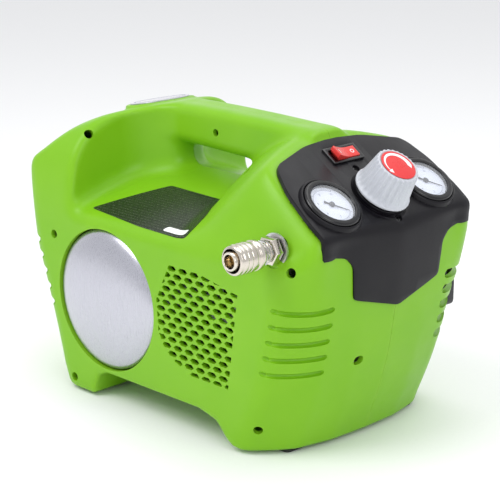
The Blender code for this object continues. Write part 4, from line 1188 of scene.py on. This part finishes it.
def dial_marks(top_number):
    """Arc, ticks and numbers in the dial's own frame."""
    marks = [arc_band(15.9, 16.15, NEEDLE_REST - DIAL_SWEEP, NEEDLE_REST, *DIAL_PRINT)]
    for i in range(51):
        length, width = (1.9, 0.17) if i % 5 == 0 else (1.0, 0.09)
        turn = Matrix.Rotation(NEEDLE_REST - DIAL_SWEEP * i / 50, 4, "Z")
        marks.append(prism(rectangle(15.95, -width, 15.95 + length, width), turn, *DIAL_PRINT))
    for i in range(6):
        marks.append(digit(str(top_number * i // 5), 12.7, NEEDLE_REST - DIAL_SWEEP * i / 5, 3.1))
    return merged(*marks)


def build_gauge(prefix, y, body, top_number):
    at = panel_frame(0, y)
    case = ((5, -26.5), (5, -20), (21.5, -20), (21.5, 0.7), (24.6, 0.9), (24.6, 5.2), (23.4, 6.6),
            (19.6, 6.6), (19.3, 5.0), (19.3, 1.4), (19.8, 1.2), (19.8, -17), (3, -17), (3, -26.5))
    put(new_object(prefix + "_body", lathe(rounded(case, 0.7, 3), at, 96), GLOSS_BLACK, 40),
        "base", "black_plastic", prefix + "_case")
    dial = ((1.6, 2.3), (19.1, 2.3), (19.1, 2.8), (1.6, 2.8))
    put(new_object(prefix + "_face", lathe(dial, at, 96), DIAL), "base", "white_print", prefix + "_dial")
    lens = ((0, 5.1), (19.1, 5.1), (19.1, 5.5), (12, 6.0), (0, 6.2))
    put(new_object(prefix + "_window", lathe(lens, at, 96), LENS), "base", "clear_lens", prefix + "_lens")
    scale = dial_marks(top_number)
    bmesh.ops.transform(scale, matrix=at, verts=scale.verts)
    put(new_object(prefix + "_scale", scale, GREY_PRINT), "base", "white_print")

    hub = rounded(((0, 2.9), (2.5, 2.9), (2.5, 4.3), (1.9, 4.7), (0, 4.7)), 0.3)
    blade = ((-6.8, -1.25), (-3, -0.55), (15.6, -0.16), (15.6, 0.16), (-3, 0.55), (-6.8, 1.25))
    needle = new_object(prefix + "_pointer", lathe(hub, UPRIGHT, 40), BLACK_PRINT)
    boolean(needle, prism(blade, Matrix.Rotation(NEEDLE_REST, 4, "Z"), 3.3, 3.75), "UNION")
    boolean(needle, rod(1.1, -4, 3, UPRIGHT, 24), "UNION")
    needle.data.transform(TO_WORLD @ at @ TO_WORLD.inverted())
    paint(needle, BLACK_PRINT)
    put(needle, body, "black_plastic", prefix + "_needle")


# ---------------------------------------------------------------- regulator knob

FLUTES = 26


def flute(radius, height, angle):
    """Hollows between the knob's ribs; they fade at the foot and at the top rim."""
    if height < 7.5 or radius < 17:
        return radius
    depth = 1.25 * min(1.0, (height - 7.5) / 3.5) * min(1.0, max(0.25, (36.5 - height) / 3))
    return radius - depth * (0.5 - 0.5 * math.cos(FLUTES * angle)) ** 0.75


def knob_profile():
    """Hollow skirt, fluted side that bows in as it rises, and a shallow seat for the disc."""
    skirt = [(4.4, 29.5), (4.4, 8), (7, 8), (7, 28), (16, 28), (16, 9), (21.5, 6.2)]
    side = [(23.6, 6.0), (24.2, 6.6), (24.3, 7.8), (23.9, 8.6)]
    side += [(23.5 - 4.3 * t ** 0.72 - 0.4 * t, 8.9 + t * 24.6) for t in np.linspace(0, 1, 18)]
    top = [(18.5, 34.2), (18.0, 34.6), (17.0, 34.7), (16.2, 34.6), (15.9, 34.35), (6, 34.3), (0.9, 34.3),
           (0.9, 30.5), (4.4, 30.5)]
    return skirt + side + top


def knob_arrow(at):
    """Crescent that thins out clockwise, with an arrow head at each end."""
    radius = 13.2
    start, stop = math.radians(75), math.radians(285)
    outer = [on_circle(radius, a) for a in np.linspace(start, stop, 60)]
    inner = []
    for a in np.linspace(stop, start, 60):
        t = (a - start) / (stop - start)
        inner.append(on_circle(radius - 0.5 - 3.4 * (1 - t) ** 0.8, a))
    crescent = prism(outer + inner, at, 35.0, 35.16)
    arrow = prism(((10.2, -0.4), (15.0, -0.4), (12.7, 3.6)), at @ Matrix.Rotation(stop, 4, "Z"), 35.0, 35.16)
    hook = prism(((9.4, 0.2), (13.3, 0.2), (11.6, -3.4)), at @ Matrix.Rotation(start, 4, "Z"), 35.0, 35.15)
    return merged(crescent, arrow, hook)


def build_knob():
    at = panel_frame(KNOB_U, 0)
    knob = new_object("pressure_knob", lathe(knob_profile(), at, FLUTES * 12, flute), KNOB_GREY, 50)
    put(knob, "knob", "grey_plastic", "regulator_knob")
    disc = rounded(((0, 34.6), (15.4, 34.6), (15.4, 35.05), (0, 35.1)), 0.15)
    put(new_object("pressure_knob_disc", lathe(disc, at, 96), RED_PRINT), "knob", "red_plastic", "knob_label")
    put(new_object("pressure_knob_arrow", knob_arrow(at), WHITE_PRINT), "knob", "white_print")
    seat = rounded(((0, 0.2), (22.6, 0.2), (22.6, 3.4), (20.5, 4.4), (0, 4.4)), 0.5)
    seat_ring = [(12.5, 0.2)] + seat[1:-1] + [(12.5, 4.4)]
    put(new_object("pressure_knob_seat", lathe(seat_ring, at, 72), BLACK), "base", "black_plastic")


# ---------------------------------------------------------------- switch

def build_switch():
    at = panel_frame(ROCKER_U, -1)
    rim = rounded(rectangle(-8.6, -18.6, 8.6, 18.6), 1.6, 4)
    bezel = new_object("switch_bezel", prism(rim, at, 0.45, 2.6))
    boolean(bezel, prism(rectangle(-6.7, -15.7, 6.7, 15.7), at, -21, 1.4), "UNION")
    boolean(bezel, prism(rounded(rectangle(-5.9, -14.9, 5.9, 14.9), 0.8, 3), at, -9, 10))
    soften(bezel, 0.0004, 2, 40)
    paint(bezel, GLOSS_BLACK)
    put(bezel, "base", "black_plastic", "switch_frame")
    pivot = panel_frame(ROCKER_U, -1, 0.5) @ Matrix.Rotation(-math.radians(11), 4, "X")
    section = [(-13.9, 1.6), (-14.0, 5.4)]
    section += [(v, 3.3 + 2.3 * (abs(v) / 13.6) ** 1.6) for v in np.linspace(-13.5, 13.5, 19)]
    section += [(14.0, 5.4), (13.9, 1.6), (6, -5.4), (-6, -5.4)]
    rings = [[(x, a, b) for a, b in section] for x in (-5.4, 5.4)]
    rocker = new_object("power_rocker_cap", loft(rings, pivot))
    soften(rocker, 0.0005, 3, 35)
    paint(rocker, RED)
    put(rocker, "rocker", "red_plastic", "rocker_switch")
    ring = lathe(((1.35, 0), (2.0, 0), (2.0, 0.14), (1.35, 0.14)),
                 pivot @ Matrix.Translation((0, 8.6, 4.35)) @ Matrix.Rotation(math.radians(12), 4, "X"), 40)
    bar = box(pivot @ Matrix.Translation((0, -8.6, 4.35)) @ Matrix.Rotation(math.radians(-12), 4, "X"),
              -2.0, 2.0, -0.3, 0.3, 0, 0.14)
    put(new_object("power_rocker_marks", merged(ring, bar), WHITE_PRINT), "rocker", "white_print")


# ---------------------------------------------------------------- coupler

def build_coupler():
    at = along_y(COUPLER_X, COUPLER_Z)
    nut = ((6.2, 106.7), (11.0, 106.7), (11.9, 107.6), (11.9, 114.2), (11.0, 115), (6.2, 115))
    washer = lathe(rectangle(9.4, 103.6, 13.2, 105.4), at, 64)
    profile = rounded(((4.6, 72.4), (6.4, 72.4), (6.4, 108), (7.5, 108), (7.5, 121.4), (8.2, 122), (8.2, 150),
                       (7.4, 154.9), (5.6, 154.9), (5.6, 126), (4.6, 124)), 0.5, 3)
    body = new_object("coupler_barrel", lathe(profile, at, 64))
    boolean(body, lathe(nut, at, 6), "UNION")
    soften(body, 0.0003, 2, 30)
    paint(body, NICKEL)
    put(body, "base", "nickel_plate", "coupler_body")
    put(new_object("coupler_washer", washer, STEEL), "base", "nickel_plate")
    outline = ((8.6, 126), (11.5, 126), (12.3, 126.8), (12.3, 130.8), (11.3, 131.6), (11.3, 134.6),
               (12.4, 135.4), (12.4, 139.4), (11.9, 140.0), (12.4, 140.6), (12.4, 144.0), (11.9, 144.6),
               (12.4, 145.2), (12.4, 148), (11.7, 149.2), (11.7, 151.4), (9.7, 152.4), (9.7, 140.6),
               (8.6, 140.6))
    sleeve = new_object("coupler_outer_sleeve", lathe(rounded(outline, 0.35, 2), at, 72), NICKEL, 45)
    put(sleeve, "sleeve", "nickel_plate", "coupler_sleeve")
    valve = ((0, 130), (1.8, 130), (1.8, 138), (5.0, 139), (5.0, 143), (3.0, 144.5), (3.0, 147), (0, 147))
    put(new_object("coupler_valve_tip", lathe(rounded(valve, 0.3, 2), at, 40), BRASS),
        "plug_valve", "brass", "coupler_valve")


# ---------------------------------------------------------------- tank, badge, label, battery, feet

def build_tank():
    at = along_y(TANK_X, TANK_Z)
    straight, rise = 105.0, 15.0
    angles = [t * math.pi / 2 for t in np.linspace(0, 1, 26)]
    dome = [(TANK_RADIUS * math.cos(a), straight + rise * math.sin(a)) for a in angles]
    dome[-1] = (0.0, straight + rise)
    side = [(TANK_RADIUS, h) for h in np.linspace(-100, 100, 9)]
    profile = [(r, -h) for r, h in dome[::-1]] + side + dome
    tank = new_object("silver_tank", lathe(profile, at, 144), SILVER, 40)
    put(tank, "base", "silver_paint", "air_tank")


def oval(half_x, half_y, z):
    """Ring of points on an ellipse."""
    turns = np.linspace(0, 2 * math.pi, 96, endpoint=False)
    return [(half_x * math.cos(a), half_y * math.sin(a), z) for a in turns]


def build_badge():
    """Plain silver oval with a thin line round it and no mark."""
    rings = [oval(16.6 - inset, 33 - inset, z) for inset, z in ((0, 3.35), (0, 4.05), (0.5, 4.3))]
    plate_body = new_object("oval_badge", loft(rings, badge_frame()), SILVER_FOIL)
    put(plate_body, "base", "silver_paint", "badge_plate")
    section = ((14.2, 4.25), (14.2, 4.4), (13.7, 4.4), (13.7, 4.25))
    line = [oval(r * 13.6 / 14.2, r * 2.05, z) for r, z in section]
    rim = loft(line + line[:1], badge_frame(), caps=False)
    bmesh.ops.remove_doubles(rim, verts=rim.verts, dist=1e-5)
    put(new_object("oval_badge_line", rim, GREY_PRINT), "base", "silver_paint")


LABEL_OUTLINE = ((-88, -98), (-45, -43), (20, -45), (43, -83), (40, -105), (-20, -104))
LABEL_BAR = ((8, -101.5), (36, -102), (36.4, -96), (10, -95.5))


def roof_height(x, y):
    """Height of the housing's skin at a place on the near shoulder, found by halving."""
    low, high = 150.0, 240.0
    for _ in range(26):
        middle = (low + high) / 2
        inside = float(body_field(np.array([x]), np.array([y]), np.array([middle]))[0]) < 0
        low, high = (middle, high) if inside else (low, middle)
    return low


def roof_film(outline, lift, thick):
    """Film that follows the curved roof inside an outline given in plan."""
    bm = prism(rounded(outline, 3.0, 3), UPRIGHT, 0, 1)
    lines = [((0, y, 0), (0, 1, 0)) for y in np.arange(-106, -40, 3.0)]
    lines += [((x, 0, 0), (1, 0, 0)) for x in np.arange(-90, 48, 5.0)]
    for spot, normal in lines:
        geometry = bm.verts[:] + bm.edges[:] + bm.faces[:]
        bmesh.ops.bisect_plane(bm, geom=geometry, plane_co=spot, plane_no=normal)
    for vertex in bm.verts:
        vertex.co.z = roof_height(vertex.co.x, vertex.co.y) + lift + vertex.co.z * thick
    return bm


def build_label():
    film = new_object("rating_film_label", roof_film(LABEL_OUTLINE, 0.12, 0.35), LABEL, 60)
    put(film, "base", "black_plastic", "rating_label")
    bar = new_object("rating_film_bar", roof_film(LABEL_BAR, 0.5, 0.08), WHITE_PRINT, 60)
    put(bar, "base", "black_plastic")


def build_battery():
    low, high = node_box("battery_pack")
    latch_low, latch_high = node_box("battery_latch")
    outline = rounded(rectangle(low.x, low.z, high.x, high.z), 6.0, 5)
    pack = new_object("battery_shell", plate(outline, low.y, high.y))
    boolean(pack, box(UPRIGHT, latch_low.x - 0.6, latch_high.x + 0.6, latch_low.y - 0.6, high.y + 5,
                      latch_low.z - 3.6, latch_high.z + 0.6))
    grips = [box(UPRIGHT, x, x + 4, high.y - 1.2, high.y + 3, low.z + 5, low.z + 13)
             for x in (low.x + 9 + 9 * i for i in range(6))]
    boolean(pack, merged(*grips))
    channels = [box(UPRIGHT, x, x + 6.2, low.y - 5, low.y + 15, low.z + 3, high.z - 3)
                for x in (low.x + 7.4, high.x - 13.6)]
    boolean(pack, merged(*channels))
    soften(pack, 0.0008, 2, 40)
    paint(pack, BLACK)
    put(pack, "battery", "black_plastic", "battery_pack")
    key = new_object("battery_release", box(UPRIGHT, latch_low.x, latch_high.x, latch_low.y, latch_high.y,
                                            latch_low.z, latch_high.z))
    soften(key, 0.0012, 3, 40)
    paint(key, RED)
    put(key, "latch", "red_plastic", "battery_latch")


def build_feet():
    for node in ("foot_front_near", "foot_front_far", "foot_rear_near", "foot_rear_far"):
        low, high = node_box(node)
        outline = rounded(rectangle(low.x, low.y, high.x, high.y), 6.0, 6)
        foot = new_object(node + "_pad", prism(outline, UPRIGHT, low.z, high.z))
        soften(foot, 0.0005, 2, 40)
        paint(foot, RUBBER)
        put(foot, "base", "black_rubber", node)


def build_petcock():
    low, high = node_box("drain_petcock")
    at = Matrix.Translation(((low.x + high.x) / 2, (low.y + high.y) / 2, 0))
    hub_top = 11.8
    hub = ((0, low.z), (6.5, low.z), (6.5, high.z), (3.8, high.z), (3.8, hub_top), (0, hub_top))
    wing = new_object("drain_wing", lathe(rounded(hub, 0.4, 2), at, 40))
    blade = rounded(rectangle(-11, -1.5, 11, 1.5), 1.2, 4)
    boolean(wing, prism(blade, at, low.z + 0.5, 15.8), "UNION")
    boolean(wing, rod(3.8, hub_top, 30, at, 40))
    soften(wing, 0.0003, 2, 40)
    paint(wing, BRASS)
    put(wing, "petcock", "brass", "drain_petcock")


def dress_cad_nodes():
    """Inner pieces keep their CAD shape and get the procedural materials."""
    looks = {
        "green_plastic": GREEN, "black_plastic": BLACK, "grey_plastic": KNOB_GREY, "red_plastic": RED,
        "black_rubber": RUBBER, "steel": STEEL, "silver_paint": SILVER, "nickel_plate": NICKEL,
        "brass": BRASS, "cast_alloy": ALLOY, "white_print": DIAL, "clear_lens": LENS, "copper": COPPER,
    }
    for entry in frame["record"]["subparts"]:
        node = frame["nodes"][entry["node"]]
        if node.hide_render:
            continue
        paint(node, looks[entry["material_slot"]])


# ---------------------------------------------------------------- stage

def build_floor():
    floor_mat, tree, shader, mm = node_material("studio_paper", (0.93, 0.93, 0.93), 0.9)
    fibre = noise(tree, mm, 4.0, 3.0)
    link_colour(tree, shader, mix_colour(tree, fibre, (0.92, 0.92, 0.92), (0.95, 0.95, 0.95)))
    floor_mesh = bpy.data.meshes.new("studio_floor")
    reach = 6.0
    corners = [(x, y, 0) for x, y in rectangle(-reach, -reach, reach, reach)]
    floor_mesh.from_pydata(corners, [], [(0, 1, 2, 3)])
    floor = bpy.data.objects.new("studio_floor", floor_mesh)
    floor_mesh.materials.append(floor_mat)
    bpy.context.scene.collection.objects.link(floor)
    floor.location.z = -0.0002


def build_world():
    """White backdrop behind the object as the camera sees it, and a little less light all round."""
    world = bpy.data.worlds.new("studio")
    bpy.context.scene.world = world
    world.use_nodes = True
    nodes, links = world.node_tree.nodes, world.node_tree.links
    background = nodes["Background"]
    direction = nodes.new("ShaderNodeTexCoord")
    backdrop = nodes.new("ShaderNodeVectorMath")
    backdrop.operation = "DOT_PRODUCT"
    backdrop.inputs[1].default_value = (-0.70, 0.70, -0.10)
    links.new(direction.outputs["Generated"], backdrop.inputs[0])
    fade = ramp(world.node_tree, backdrop.outputs["Value"], 0.2, 0.85, 0.0, 1.0)
    colour = mix_colour(world.node_tree, fade, (0.74, 0.75, 0.77), (1.1, 1.1, 1.1))
    links.new(colour, background.inputs["Color"])
    background.inputs["Strength"].default_value = 1.0


def build_lamps():
    """Three soft panels; each has a name, a place from the object's centre, a size and a power."""
    centre = (CAD_BOX[0] + CAD_BOX[1]) / 2
    lamps = (("key_light", (-0.35, -1.15, 1.35), 0.9, 13.0), ("front_light", (1.35, -0.55, 0.75), 0.8, 5.0),
             ("top_light", (0.1, 0.5, 1.6), 1.2, 8.0))
    for name, offset, size, power in lamps:
        data = bpy.data.lights.new(name, "AREA")
        data.shape = "SQUARE"
        data.size = size
        data.energy = power
        lamp = bpy.data.objects.new(name, data)
        bpy.context.scene.collection.objects.link(lamp)
        lamp.location = centre + Vector(offset)
        lamp.rotation_euler = (-Vector(offset)).to_track_quat("-Z", "Y").to_euler()


def build_camera():
    data = bpy.data.cameras.new("camera")
    data.lens = 116.92
    data.sensor_width = 36.0
    camera = bpy.data.objects.new("camera", data)
    bpy.context.scene.collection.objects.link(camera)
    camera.location = ORIGIN + Vector((0.9928, -0.9726, 0.5285))
    target = ORIGIN + Vector((0.21716, -0.20482, 0.21599))
    camera.rotation_euler = (target - camera.location).to_track_quat("-Z", "Y").to_euler()
    bpy.context.scene.camera = camera


build_camera()
build_floor()
build_world()
build_lamps()
build_housing()
build_panel()
build_panel_screws()
build_gauge("tank_gauge", -GAUGE_Y, "tank_needle", 10)
build_gauge("outlet_gauge", GAUGE_Y, "outlet_needle", 10)
build_knob()
build_switch()
build_coupler()
build_tank()
build_badge()
build_label()
build_battery()
build_feet()
build_petcock()
dress_cad_nodes()
bpy.context.scene.view_settings.view_transform = "Standard"
